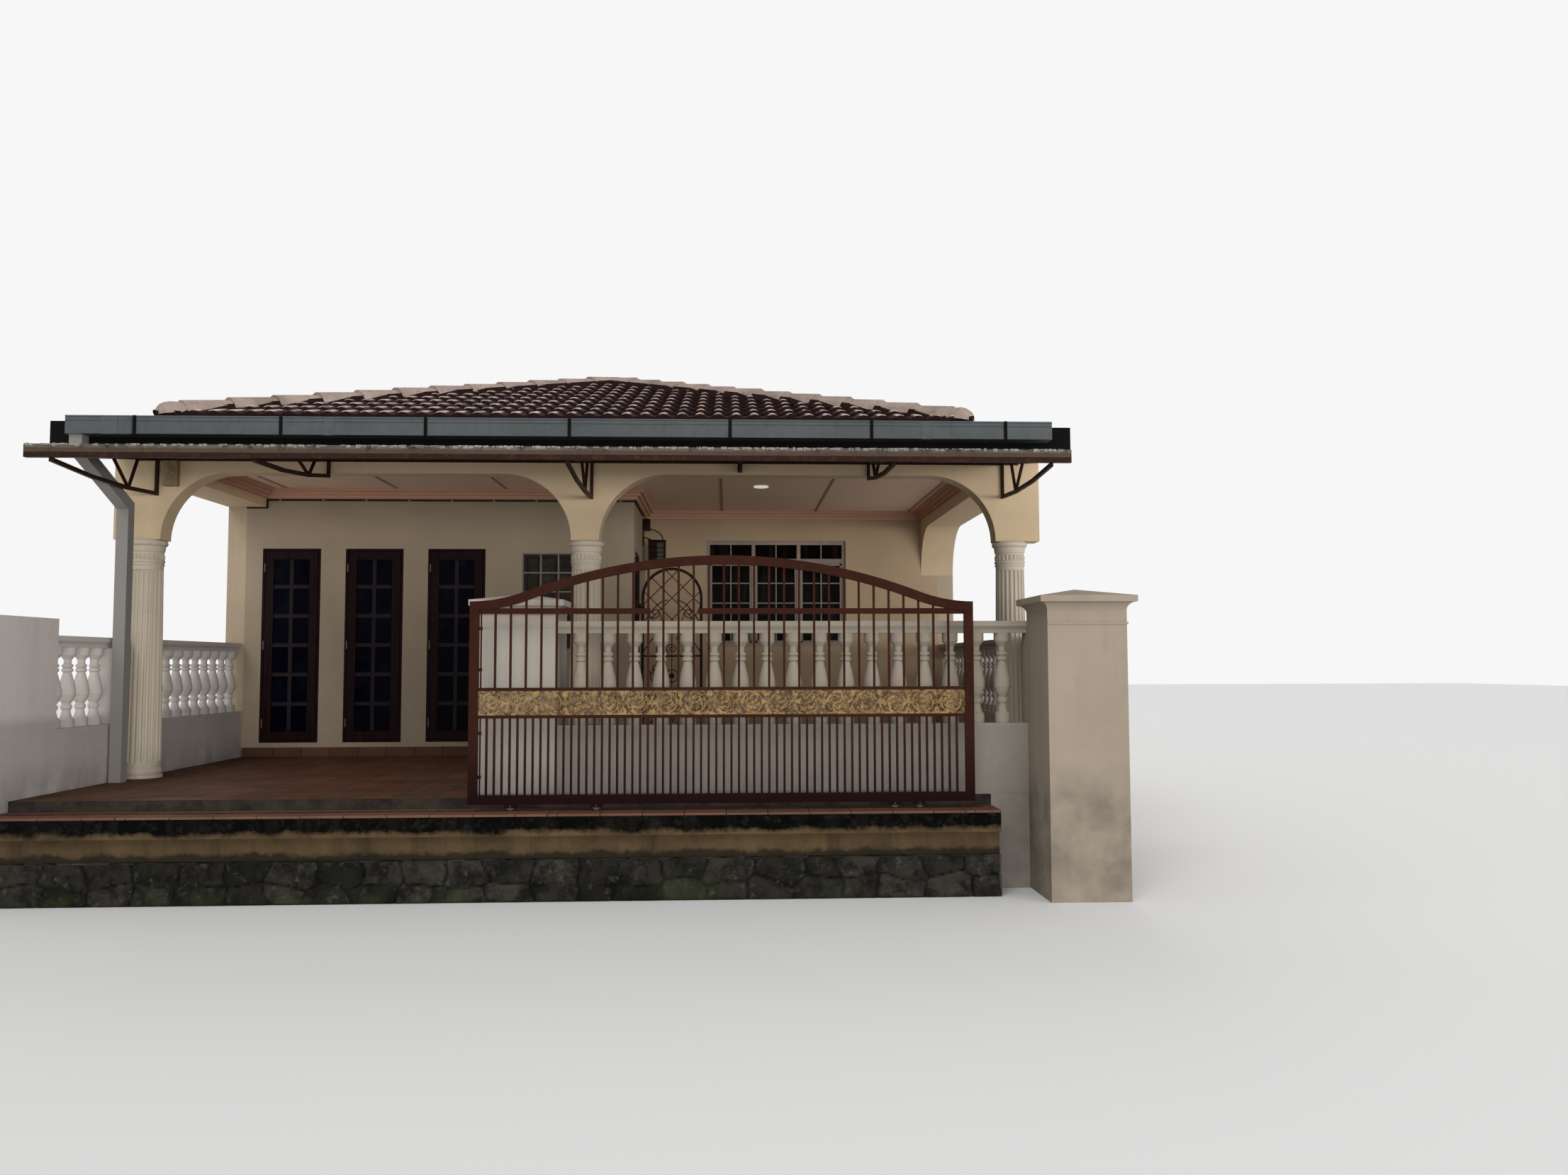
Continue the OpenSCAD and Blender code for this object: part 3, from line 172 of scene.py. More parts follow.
def plaster(name, color, grime, foot=0.5, warm=None, lit_top=None):
    """Matt wall paint with patches, rain streaks and dirt near the porch floor.

    warm is a colour in wide patches. The last argument is a lighter colour for the upper part,
    and the heights where it sets in: painted light.
    """
    g = Graph(name, 0.85, gloss=0.25)
    patches = g.spots(1.3, 5, 0.35, 0.7)
    base = g.mix(shade(color, 0.92), shade(color, 1.05), patches)
    if warm:
        base = g.spotted(base, warm, 0.8, 3, 0.45, 0.75, 0.5)
    # The upper part lighter: painted light.
    if lit_top:
        base = g.mix(base, lit_top[0], g.span(g.axis("Z"), lit_top[1], lit_top[2]))
    streaks = g.spots(1.0, 6, 0.50, 0.78, grime, 0.6, (7, 7, 0.6))
    fine = g.spots(1.0, 7, 0.52, 0.8, 0.7 * grime, 0.65, (26, 26, 1.6))
    blots = g.spots(9.0, 6, 0.58, 0.8, 1.2 * grime, 0.65)
    low = g.times(g.span(g.axis("Z"), PORCH_Z, PORCH_Z + WALL_FOOT_H, foot, 0.0),
                  g.spots(5.0, 5, 0.3, 0.7))
    for tone, dirt in ((1.0, streaks), (1.0, fine), (0.6, blots), (0.7, low)):
        base = g.mix(base, shade(WALL_DIRT, tone), dirt)
    g.bump(g.noise(60.0, 4), 0.2, 0.002)
    return g.finish(base, g.span(patches, 0, 1, 0.8, 0.92))


def rusty_metal(name, color, rust=(0.13, 0.05, 0.022), amount=0.5, metallic=0.0, gloss=0.2,
                foot=None):
    """Painted metal with rust spots and runs, and a second colour near the porch floor, which on
    the gate is darker: painted shade with dirt.
    """
    g = Graph(name, 0.6, metallic, gloss)
    spots = g.spots(14.0, 8, 0.5, 0.68, amount, 0.7)
    runs = g.spots(1.0, 6, 0.55, 0.8, 0.5 * amount, 0.6, (20, 20, 1.2))
    tone = g.mix(shade(color, 0.78), shade(color, 1.22), g.noise(3.0, 4))
    tone = g.mix(tone, g.mix(rust, shade(rust, 1.9), g.noise(40.0, 4)), spots)
    tone = g.mix(tone, shade(rust, 0.8), runs)
    # A colour that sets in towards the porch floor: on the gate, painted shade with dirt.
    if foot:
        tone = g.mix(tone, foot, g.span(g.axis("Z"), PORCH_Z, PORCH_Z + METAL_FOOT_H, 0.85, 0.0))
    g.bump(g.noise(90.0, 5), 0.35, 0.001)
    return g.finish(tone, g.span(spots, 0, 1, 0.45, 0.85))


def rubble_stone():
    """Dark field stones with sunk joints, damp and mossy at the foot."""
    g = Graph("rubble stone", 0.9, gloss=0.05)
    edge = g.cells(3.4, "DISTANCE_TO_EDGE")
    tone = g.add("ShaderNodeSeparateColor", 0, ((0, g.cells(3.4, "F1", "Color")),))
    # The stones' colours are darkened to the footing's deep shade: painted shade.
    stone = g.mix((0.020, 0.018, 0.015), (0.060, 0.052, 0.041), tone)
    stone = g.spotted(stone, (0.008, 0.008, 0.006), 6.0, 7, 0.42, 0.66, rough=0.7)
    color = g.mix(stone, (0.004, 0.004, 0.003), g.span(edge, 0.0, 0.055, 1.0, 0.0))
    moss = g.times(g.spots(3.1, 5, 0.52, 0.7, 0.5), g.span(g.axis("Z"), 0.0, 0.3, 1.0, 0.2))
    color = g.mix(color, (0.030, 0.036, 0.014), moss)
    height = g.math("ADD", g.span(edge, 0.0, 0.12), g.times(g.noise(25.0, 6), 0.35))
    g.bump(height, 1.0, 0.03)
    return g.finish(color)


def rubble_front():
    """The same stone for the modelled face, which marks its stones and joints itself."""
    g = Graph("rubble front", 0.9, gloss=0.05)
    # The stones' colours are darkened to the footing's deep shade: painted shade.
    stone = g.mix((0.010, 0.0095, 0.008), (0.038, 0.034, 0.027), g.attribute("tone"))
    stone = g.spotted(stone, (0.006, 0.006, 0.005), 7.0, 8, 0.42, 0.60, 0.9, 0.72)
    stone = g.spotted(stone, (0.085, 0.079, 0.067), 15.0, 8, 0.56, 0.72, 0.75, 0.75)
    color = g.mix(stone, (0.003, 0.003, 0.003), g.attribute("joint"))
    moss = g.times(g.spots(3.1, 5, 0.52, 0.7, 0.6), g.span(g.axis("Z"), 0.0, 0.2, 1.0, 0.1))
    color = g.mix(color, (0.034, 0.042, 0.015), moss)
    g.bump(g.noise(38.0, 8, 0.7), 0.9, 0.008)
    return g.finish(color)


def ledge_plaster():
    """Stained plaster: black mould on the ledge's edge, with cream left clean below it."""
    g = Graph("ledge plaster", 0.85, gloss=0.05)
    cream = g.spotted((0.098, 0.064, 0.032), (0.046, 0.032, 0.018), 2.6, 7, 0.35, 0.7, rough=0.65)
    wobble = g.span(g.noise(5.0, 7, 0.7), 0.3, 0.7, -0.03, 0.03)
    mould = g.span(g.math("ADD", g.axis("Z"), wobble), 0.478, 0.512)
    black = g.spotted((0.0015, 0.0015, 0.0012), (0.016, 0.0145, 0.011), 16.0, 8, 0.50, 0.72,
                      rough=0.75)
    color = g.mix(cream, black, mould)
    base = g.span(g.math("ADD", g.axis("Z"), wobble), 0.33, 0.36, 0.8, 0.0)
    color = g.mix(color, (0.010, 0.010, 0.008), base)
    drips = g.spots(1.0, 6, 0.5, 0.75, 0.55, 0.6, (9, 9, 0.7))
    color = g.mix(color, (0.016, 0.013, 0.010), drips)
    g.bump(g.noise(45.0, 6), 0.6, 0.004)
    return g.finish(color)


FLOOR_JOINT = 0.005


# The default colours are the terracotta darkened to the porch floor's shade: painted shade.
def tile_floor(name, size=0.30, color=(0.112, 0.053, 0.031), dirt=(0.052, 0.033, 0.024),
               riser=False):
    """Worn square tiles. With a riser, the step's upright face behind the ledge is bare plaster,
    darkened as painted shade under the gate.
    """
    g = Graph(name, 0.5, gloss=0.05)
    tiles = g.add("ShaderNodeTexBrick", "Color", (
        ("Vector", g.place), ("Scale", 1.0), ("Brick Width", size), ("Row Height", size),
        ("Mortar Size", FLOOR_JOINT), ("Mortar Smooth", 0.1), ("Mortar", (0.028, 0.020, 0.016)),
        ("Color1", shade(color, 0.85)), ("Color2", shade(color, 1.15))), offset=0.0)
    worn = g.spots(2.0, 6, 0.45, 0.75, 0.6, 0.65)
    tone = g.mix(tiles, dirt, worn)
    tone = g.spotted(tone, shade(dirt, 0.4), 30.0, 6, 0.6, 0.8, 0.5)
    if riser:
        # Bare plaster on the riser, made dark: painted shade under the gate.
        bare_in_shade = g.spotted((0.038, 0.030, 0.024), (0.016, 0.013, 0.011), 6.0, 6, 0.4, 0.65, rough=0.7)
        upright = g.span(g.axis("Y"), LEDGE_BACK + 0.001, LEDGE_BACK + 0.004, 1.0, 0.0)
        tone = g.mix(tone, bare_in_shade, upright)
    g.bump(g.math("SUBTRACT", 1.0, tiles.node.outputs["Fac"]), 0.6, 0.002)
    return g.finish(tone, g.span(worn, 0, 1, 0.6, 0.85))


def roof_tile():
    """Dark weathered tile with a pale pinkish patch on the crest of each roll: partly wear, partly
    painted light; the pans and the lower butt faces stay dark, partly as painted shade.
    """
    g = Graph("roof tile", 0.9, gloss=0.05)
    dark = g.mix((0.010, 0.0045, 0.0045), (0.026, 0.013, 0.012), g.noise(7.0, 6, 0.65))
    # Pale patch on the crests: partly wear, partly painted light.
    worn = g.times(g.span(g.attribute("crest_wear_and_light"), 0.42, 0.72), g.spots(9.0, 5, 0.32, 0.52, rough=0.6))
    pale = g.mix((0.72, 0.54, 0.47), (0.42, 0.305, 0.265), g.noise(35.0, 4))
    pale = g.spotted(pale, (0.60, 0.52, 0.41), 3.3, 4, 0.55, 0.7, 0.5)
    color = g.mix(dark, pale, worn)
    color = g.spotted(color, (0.012, 0.010, 0.010), 2.6, 6, 0.55, 0.72, 0.75, 0.65)
    g.bump(g.noise(70.0, 6), 0.5, 0.003)
    return g.finish(color)


def cap_tile():
    """Pale weathered caps with lichen and dark spots."""
    g = Graph("cap tile", 0.9, gloss=0.15)
    color = g.spotted((0.40, 0.305, 0.255), (0.235, 0.185, 0.155), 3.2, 6, 0.35, 0.68, rough=0.65)
    color = g.spotted(color, (0.085, 0.066, 0.058), 17.0, 7, 0.55, 0.75, 0.7, 0.7)
    color = g.spotted(color, (0.13, 0.115, 0.085), 6.0, 5, 0.55, 0.75, 0.5, 0.6)
    g.bump(g.noise(60.0, 6), 0.5, 0.003)
    return g.finish(color)


def board(name, color, rough=0.8):
    """An even surface with faint clouds and a few stains."""
    g = Graph(name, rough, gloss=0.25)
    tone = g.mix(shade(color, 0.92), shade(color, 1.04), g.noise(1.1, 4))
    stain = g.spots(2.6, 6, 0.6, 0.8, 0.35, 0.65)
    g.bump(g.noise(120.0, 3), 0.12, 0.001)
    return g.finish(g.mix(tone, shade(color, 0.45), stain))


BOARD_L, BOARD_SEAM = 0.84, 0.985


def black_boards():
    """Black boards, with dust and open seams on their upper faces."""
    g = Graph("black fascia paint", 0.75, gloss=0.05)
    tone = g.mix((0.0035, 0.0035, 0.0042), (0.0070, 0.0062, 0.0060), g.noise(2.2, 6, 0.65))
    up = g.upward()
    dust = g.times(up, g.span(g.noise(2.6, 7, 0.68), 0.40, 0.66, 0.15, 0.9))
    tone = g.mix(tone, (0.060, 0.049, 0.040), dust)
    along = g.math("FRACT", g.math("DIVIDE", g.axis("Y"), BOARD_L))
    seam = g.times(up, g.math("GREATER_THAN", along, BOARD_SEAM))
    g.bump(g.noise(70.0, 5), 0.25, 0.002)
    return g.finish(g.mix(tone, (0.002, 0.002, 0.002), seam))


def awning_plastic(name, color):
    """Weathered sheet, brown along the foot of its front strip."""
    g = Graph(name, 0.5, gloss=0.1)
    tone = g.spotted(color, shade(color, 0.5), 2.2, 6, 0.35, 0.7)
    mould = g.spots(13.0, 8, 0.50, 0.64, 0.9, 0.75)
    tone = g.mix(tone, (0.020, 0.017, 0.014), mould)
    foot = AWNING_Z - AWNING_FALL + 0.035
    tone = g.mix(tone, (0.060, 0.038, 0.024), g.span(g.axis("Z"), foot - 0.006, foot, 0.85, 0.0))
    g.bump(g.noise(30.0, 4), 0.2, 0.002)
    return g.finish(tone, g.span(mould, 0, 1, 0.4, 0.8))


GLASS_LIP = 0.012


def varnished_wood(name, color, bars=None):
    """Dark varnish. The glazing bars, between the stiles, are faded to the bars' colour."""
    g = Graph(name, 0.5, gloss=0.05)
    grain = g.noise(2.2, 8, 0.6, (28, 28, 1.6))
    tone = g.mix(shade(color, 0.65), shade(color, 1.5), g.span(grain, 0.35, 0.7))
    if bars:
        low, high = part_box("left_door_glass")
        across = g.math("DIVIDE", g.math("SUBTRACT", g.axis("X"), low[0] + GLASS_LIP), DOOR_PITCH)
        across = g.times(g.math("FRACT", across), DOOR_PITCH)
        inside = g.math("LESS_THAN", across, high[0] - low[0] - 2 * GLASS_LIP)
        for kind, edge in (("GREATER_THAN", low[2] + GLASS_LIP),
                           ("LESS_THAN", high[2] - GLASS_LIP)):
            inside = g.times(inside, g.math(kind, g.axis("Z"), edge))
        tone = g.mix(tone, bars, g.times(inside, g.span(grain, 0.2, 0.6, 0.55, 1.0)))
    g.bump(grain, 0.12, 0.0008)
    return g.finish(tone, g.span(grain, 0.3, 0.7, 0.32, 0.5))


def dark_glass():
    """The doors' panes, nearly black, with faint blue reflections."""
    g = Graph("dark glass", 0.12, gloss=0.02)
    tone = g.mix((0.0004, 0.0004, 0.003), (0.0018, 0.0018, 0.006), g.noise(2.5, 3))
    tone = g.spotted(tone, (0.0035, 0.0045, 0.0095), 4.5, 5, 0.52, 0.64, 0.8, 0.6)
    dust = g.spots(3.5, 6, 0.5, 0.85, 0.01, 0.7)
    return g.finish(g.mix(tone, (0.08, 0.07, 0.06), dust), g.span(dust, 0, 0.01, 0.08, 0.25))


def window_panes():
    """Dark clear panes with a hint of curtains, and the small window's grey obscured glass."""
    g = Graph("window panes", 0.25, gloss=0.03)
    clear = g.mix((0.0015, 0.0015, 0.0015), (0.006, 0.005, 0.004), g.noise(1.7, 4))
    curtain = g.spots(1.0, 6, 0.50, 0.66, 0.7, 0.65, (11, 11, 1.4))
    clear = g.mix(clear, (0.021, 0.016, 0.012), curtain)
    frosted = g.mix((0.020, 0.018, 0.014), (0.055, 0.048, 0.038), g.span(g.cells(75.0), 0.15, 0.6))
    frosted = g.spotted(frosted, (0.012, 0.011, 0.009), 7.0, 5, 0.4, 0.7, 0.7)
    small = g.at_small_window()
    return g.finish(g.mix(clear, frosted, small), g.span(small, 0, 1, 0.1, 0.5))


def gold_paint():
    """Dull gold paint, worn to brown in its hollows."""
    g = Graph("gold paint", 0.5, 0.2, 0.3)
    tone = g.spotted((0.335, 0.208, 0.085), (0.15, 0.090, 0.037), 14.0, 6, 0.38, 0.62, rough=0.65)
    tone = g.spotted(tone, (0.022, 0.013, 0.007), 45.0, 5, 0.48, 0.64, 0.85)
    g.bump(g.noise(38.0, 5, 0.7), 0.5, 0.002)
    return g.finish(tone)


def window_coating():
    """Grey-pink coating. The small window's frame, under its bars, is as dark as its panes."""
    g = Graph("window coating", 0.6, gloss=0.2)
    tone = g.spotted((0.32, 0.26, 0.21), (0.235, 0.185, 0.148), 5.0, 6, 0.4, 0.7)
    tone = g.spotted(tone, (0.12, 0.09, 0.07), 40.0, 6, 0.6, 0.75, 0.6, 0.7)
    small = g.at_small_window()
    g.bump(g.noise(90.0, 5), 0.2, 0.001)
    return g.finish(g.mix(tone, (0.022, 0.019, 0.015), small))


COVER_X0, COVER_PITCH, COVER_JOINT = -8.166, 0.46, 0.955


def cable_cover():
    """Black strips with open joints along the wall's top, and the cream box on the arcade."""
    g = Graph("cable cover", 0.6, gloss=0.1)
    black = g.mix((0.006, 0.005, 0.005), (0.020, 0.016, 0.014), g.noise(12.0, 5))
    step = g.math("FRACT", g.math("DIVIDE", g.math("SUBTRACT", g.axis("X"), COVER_X0), COVER_PITCH))
    black = g.mix(black, (0.26, 0.21, 0.165), g.math("GREATER_THAN", step, COVER_JOINT))
    cream = g.spotted((0.30, 0.235, 0.125), (0.15, 0.115, 0.065), 9.0, 6, 0.4, 0.65, rough=0.7)
    return g.finish(g.mix(black, cream, g.math("LESS_THAN", g.axis("Y"), 1.0)))


VARNISH = (0.0135, 0.0058, 0.0062)
MATERIALS = {
    "rubble": rubble_stone(),
    "plinth_plaster": ledge_plaster(),
    "floor_tile": tile_floor("terracotta floor", riser=True),
    "wall_paint": plaster("cream wall paint", (0.47, 0.365, 0.245), grime=0.06, foot=0.3),
    "white_paint": plaster("off-white paint", (0.42, 0.375, 0.32), grime=0.16,
                           warm=(0.38, 0.32, 0.25)),
    # The ceiling's peach tint stands in for warm light bounced up onto it: painted light.
    "ceiling_board": board("ceiling board", (0.84, 0.63, 0.475)),
    "cornice_paint": board("pink cornice paint", (0.56, 0.32, 0.225)),
    "roof_tile": roof_tile(),
    "cap_tile": cap_tile(),
    "fascia": black_boards(),
    "gutter_metal": rusty_metal("blue-grey gutter paint", (0.082, 0.089, 0.092),
                                rust=(0.028, 0.026, 0.024), amount=0.28, gloss=0.12),
    "pipe_plastic": board("grey pipe plastic", (0.212, 0.198, 0.18), 0.5),
    # The awning's steel is darkened to its shade: painted shade.
    "rusty_steel": rusty_metal("rusty steel", (0.022, 0.011, 0.008), rust=(0.050, 0.020, 0.010),
                               amount=0.6, gloss=0.05),
    # The sheet's colour is darkened to the awning's shade: painted shade.
    "awning_plastic": awning_plastic("awning sheet", (0.125, 0.105, 0.085)),
    # The gate darkens towards the porch floor: painted shade with dirt.
    "gate_paint": rusty_metal("dark red gate paint", (0.030, 0.0098, 0.0062),
                              rust=(0.040, 0.016, 0.010), amount=0.25, gloss=0.04,
                              foot=(0.0068, 0.0021, 0.0024)),
    "gate_gold": gold_paint(),
    "roller_steel": rusty_metal("worn steel", (0.12, 0.115, 0.11), amount=0.5, metallic=0.6),
    "door_wood": varnished_wood("dark maroon varnish", VARNISH),
    "dark_glass": dark_glass(),
    "window_metal": window_coating(),
    "wrought_iron": rusty_metal("black iron", (0.010, 0.006, 0.005), amount=0.2, gloss=0.12),
}
# A darker copy of the cream paint for the porch's inner walls: painted shade.
SHADED_PORCH_WALL = plaster("porch wall paint", (0.31, 0.25, 0.178), grime=0.05, foot=0.3)
# A lighter copy of the cream paint, lighter again in the band under the awning: painted light.
LIT_FRONT_WALL = plaster("arcade paint", (0.52, 0.40, 0.255), grime=0.07,
                     lit_top=((0.63, 0.475, 0.305), 3.02, 3.34))
OUTER_WALL = plaster("outer wall paint", (0.42, 0.335, 0.235), grime=0.2)
# A lighter copy of the off-white paint for the columns: painted light.
LIT_COLUMN_PAINT = plaster("column paint", (0.51, 0.44, 0.345), grime=0.14, foot=0.6)
# A darker copy of the off-white paint for the low walls: painted shade. Above the given heights its
# balusters and rail are lighter: painted light.
SHADED_LOW_WALL = plaster("low wall paint", (0.265, 0.238, 0.205), grime=0.18,
                   lit_top=((0.325, 0.282, 0.222), 1.20, 1.26))
GLAZED_DOOR = varnished_wood("glazed door varnish", VARNISH, (0.021, 0.0155, 0.0175))
# Nodes with looks of their own: most are lighter or darker copies of their slot's paint, as
# painted light and shade, some with dirt of their own.
LOOKS = {
    "bedroom_wall": plaster("bedroom wall paint", (0.40, 0.295, 0.188), grime=0.05, foot=0.3),
    "front_fence": SHADED_LOW_WALL,
    # The boundary wall's upper part is lighter: painted light.
    "left_boundary_wall": plaster("boundary wall paint", (0.385, 0.352, 0.328), grime=0.14,
                                  foot=0.7, lit_top=((0.50, 0.46, 0.42), 1.24, 1.32)),
    "right_pillar": plaster("street pillar paint", (0.285, 0.235, 0.18), grime=0.2, foot=0.7),
    "window_glass": window_panes(),
    "conduit": cable_cover(),
}
for look, names in ((SHADED_PORCH_WALL, ("living_room_wall", "entrance_wall")),
                    (LIT_FRONT_WALL, ("arcade", "left_side_beam", "right_side_arch")),
                    (OUTER_WALL, ("left_party_wall", "right_party_wall", "rear_wall")),
                    (LIT_COLUMN_PAINT, ("left_column", "middle_column", "right_column")),
                    (GLAZED_DOOR, ("left_door", "middle_door", "right_door"))):
    LOOKS.update(dict.fromkeys(names, look))

slot_of = {part["node"]: part["material_slot"] for part in frame["record"]["subparts"]}
for name, obj in nodes.items():
    for slot in obj.material_slots:
        slot.material = LOOKS.get(name) or MATERIALS[slot_of[name]]


# Piece building

def stand(name, data):
    """A new object in the scene."""
    obj = bpy.data.objects.new(name, data)
    bpy.context.scene.collection.objects.link(obj)
    return obj


def show(name, mesh, slot, body="house", look=None, replaces=()):
    """Makes a mesh into a named piece that rides on a body."""
    obj = stand(name, mesh)
    mesh.materials.append(look or MATERIALS[slot])
    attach(obj, body)
    if replaces:
        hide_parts(*replaces)
    return obj


def tube_faces(rings, n, ends=True):
    """Faces round a tube of rings with n points each, and over its ends."""
    faces = [(n * i + k, n * i + (k + 1) % n, n * i + n + (k + 1) % n, n * i + n + k)
             for i in range(rings - 1) for k in range(n)]
    if ends:
        faces += [tuple(reversed(range(n))), tuple(range(n * (rings - 1), n * rings))]
    return faces


def sheet_faces(rows, n):
    """Faces of a sheet of rows with n points each."""
    return [(a, a + n, a + n + 1, a + 1)
            for i in range(rows - 1) for a in range(n * i, n * i + n - 1)]


class Pile:
    """Collects plain shapes into one mesh."""

    def __init__(self):
        self.verts, self.faces = [], []

    def add(self, verts, faces):
        start = len(self.verts)
        self.verts += [Vector(v) for v in verts]
        self.faces += [[start + i for i in face] for face in faces]

    def block(self, low, high):
        (x0, y0, z0), (x1, y1, z1) = low, high
        self.add([(x0, y0, z0), (x1, y0, z0), (x1, y1, z0), (x0, y1, z0),
                  (x0, y0, z1), (x1, y0, z1), (x1, y1, z1), (x0, y1, z1)],
                 [(0, 3, 2, 1), (4, 5, 6, 7), (0, 1, 5, 4),
                  (1, 2, 6, 5), (2, 3, 7, 6), (3, 0, 4, 7)])

    def tube(self, start, end, radius, sides=12):
        start, end = Vector(start), Vector(end)
        turn = (end - start).to_track_quat("Z", "Y")
        ring = [turn @ Vector((radius * cos(a), radius * sin(a), 0))
                for a in (2 * pi * k / sides for k in range(sides))]
        self.add([start + v for v in ring] + [end + v for v in ring], tube_faces(2, sides))

    def piece(self, name, slot, body="house", bevel=0.0, smooth=0.0, look=None, replaces=()):
        mesh = bpy.data.meshes.new(name)
        mesh.from_pydata(self.verts, [], self.faces)
        mesh.update()
        if smooth:
            mesh.shade_smooth()
            mesh.set_sharp_from_angle(angle=radians(smooth))
        obj = show(name, mesh, slot, body, look, replaces)
        if bevel:
            tool = obj.modifiers.new("soft edges", "BEVEL")
            tool.width, tool.segments, tool.limit_method = bevel, 2, "ANGLE"
        return obj


# Roof tiles

ROLL, ROLL_W, ROLL_H = 0.15, 0.104, 0.030
STEP = ROLL / 8
SKIN, NOSE, EAVES_NOSE = 0.004, 0.012, 0.035
NOSE_T, NOSE_ROUND, NOSE_FOOT = 0.016, 0.004, 0.002
ROW_SHIFT = 0.004


def roll(u):
    """How high the tile is at u, from 0 in its pan to 1 on the crest of a roll."""
    off = abs((u + ROLL / 2) % ROLL - ROLL / 2)
    return cos(pi * off / ROLL_W) ** 0.8 if off < ROLL_W / 2 else 0.0


def tile_section(low, nose, crest):
    """Section of a row of tiles as (place up the slope, height over it, crest mark). The crest mark,
    high on the crests and 0 in the pans and at the butts' foot, is wear and painted light.
    """
    h = SKIN + ROLL_H * crest
    return ((low - nose, ROOF_T + NOSE_FOOT, 0.0),
            (low - nose, ROOF_T + BUTT + h - NOSE_T, 0.0),
            (low - nose + NOSE_ROUND, ROOF_T + BUTT + h, crest),
            (low + 0.5 * GAUGE, ROOF_T + BUTT / 2 + h, 0.75 * crest),
            (low + GAUGE, ROOF_T + h, 0.0))


def tile_slope(name, turn, origin, half_len):
    """Rows of tiles on one slope, cut off at its hips. origin is the middle of its eaves line."""
    bm = bmesh.new()
    # Crest mark for the pale patch: wear and painted light on the crests.
    crest_wear_and_light = bm.verts.layers.float.new("crest_wear_and_light")
    foot = (ROOF_T + BUTT) * tan(PITCH)
    columns = int(half_len / STEP) + 2
    rows = int(ROOF_W / cos(PITCH) / GAUGE) + 1
    tilt = Matrix.Rotation(PITCH, 3, "X")
    for row in range(rows):
        low = foot + row * GAUGE
        nose = NOSE if row else EAVES_NOSE
        shift = rng.uniform(-ROW_SHIFT, ROW_SHIFT)
        last = None
        for u in (i * STEP for i in range(-columns, columns + 1)):
            ring = []
            for v, t, mark in tile_section(low, nose, roll(u + shift)):
                vert = bm.verts.new(tilt @ Vector((u, v, t)))
                vert[crest_wear_and_light] = mark
                ring.append(vert)
            if last:
                for k in range(len(ring) - 1):
                    bm.faces.new((last[k], ring[k], ring[k + 1], last[k + 1]))
            last = ring
    for at, out in (((half_len, 0, 0), (1, 1, 0)), ((-half_len, 0, 0), (-1, 1, 0)),
                    ((0, ROOF_W, 0), (0, 1, 0))):
        bmesh.ops.bisect_plane(bm, geom=bm.verts[:] + bm.edges[:] + bm.faces[:],
                               plane_co=at, plane_no=out, clear_outer=True)
    place = Matrix.Translation(origin) @ Matrix.Rotation(radians(turn), 4, "Z")
    bmesh.ops.transform(bm, matrix=place, verts=bm.verts)
    mesh = bpy.data.meshes.new(name)
    bm.to_mesh(mesh)
    bm.free()
    mesh.shade_smooth()
    mesh.set_sharp_from_angle(angle=radians(50))
    return show(name, mesh, "roof_tile")


def roof_tiles():
    mid_y = (EAVES_FRONT + EAVES_REAR) / 2
    side_len = (EAVES_REAR - EAVES_FRONT) / 2
    tile_slope("front_tiles", 0, (0, EAVES_FRONT, CEILING_Z), ROOF_W)
    tile_slope("rear_tiles", 180, (0, EAVES_REAR, CEILING_Z), ROOF_W)
    tile_slope("right_tiles", 90, (ROOF_W, mid_y, CEILING_Z), side_len)
    tile_slope("left_tiles", -90, (-ROOF_W, mid_y, CEILING_Z), side_len)


CAP_L, CAP_LAP, STARTER_L = 0.375, 0.03, 0.20
# Section of a cap tile across and above the edge of the roof
CAP_SECTION = ((-0.132, -0.020), (-0.118, 0.030), (-0.070, 0.072), (0.0, 0.088),
               (0.070, 0.072), (0.118, 0.030), (0.132, -0.020))
BED_SECTION = ((-0.155, -0.045), (-0.120, 0.026), (0.0, 0.040), (0.120, 0.026), (0.155, -0.045))
# Rounded first cap of a hip as (place, scale, lift)
STARTER = ((-0.02, 0.45, -0.005), (0.01, 0.78, 0.0), (0.05, 0.95, 0.0), (0.10, 1.0, 0.0),
           (STARTER_L + 0.02, 0.95, -0.012))
HIP_PAST, RIDGE_BACK, RIDGE_DROP, RIDGE_END = 0.10, 0.06, 0.012, 0.35


def cap_shell(pile, along, stations, section=CAP_SECTION):
    """A shell over an edge, through stations of (place, scale, lift), closed at its lower end."""
    side = along.cross(Vector((0, 0, 1))).normalized()
    up = side.cross(along)
    verts, n = [], len(section)
    for at, scale, lift in stations:
        verts += [at + side * (x * scale) + up * (z * scale + lift) for x, z in section]
    pile.add(verts, [tuple(range(n))] + sheet_faces(len(stations), n))


def cap_row(pile, bed, start, end, starter):
    """Overlapping caps from start up to end, on a bed of dark mortar."""
    path = end - start
    along = path.normalized()
    cap_shell(bed, along, ((start + along * 0.06, 0.9, 0.0), (end, 1.0, 0.0)), BED_SECTION)
    done = 0.0
    if starter:
        cap_shell(pile, along, [(start + along * s, scale, lift) for s, scale, lift in STARTER])
        done = STARTER_L
    count = max(1, round((path.length - done) / CAP_L))
    for i in range(count):
        a = start + along * (done + (path.length - done) * i / count - CAP_LAP)
        b = start + along * (done + (path.length - done) * (i + 1) / count)
        jitter = rng.uniform(-0.002, 0.003)
        cap_shell(pile, along, ((a, 1.0, jitter + 0.004), (b, 0.94, jitter - 0.014)))


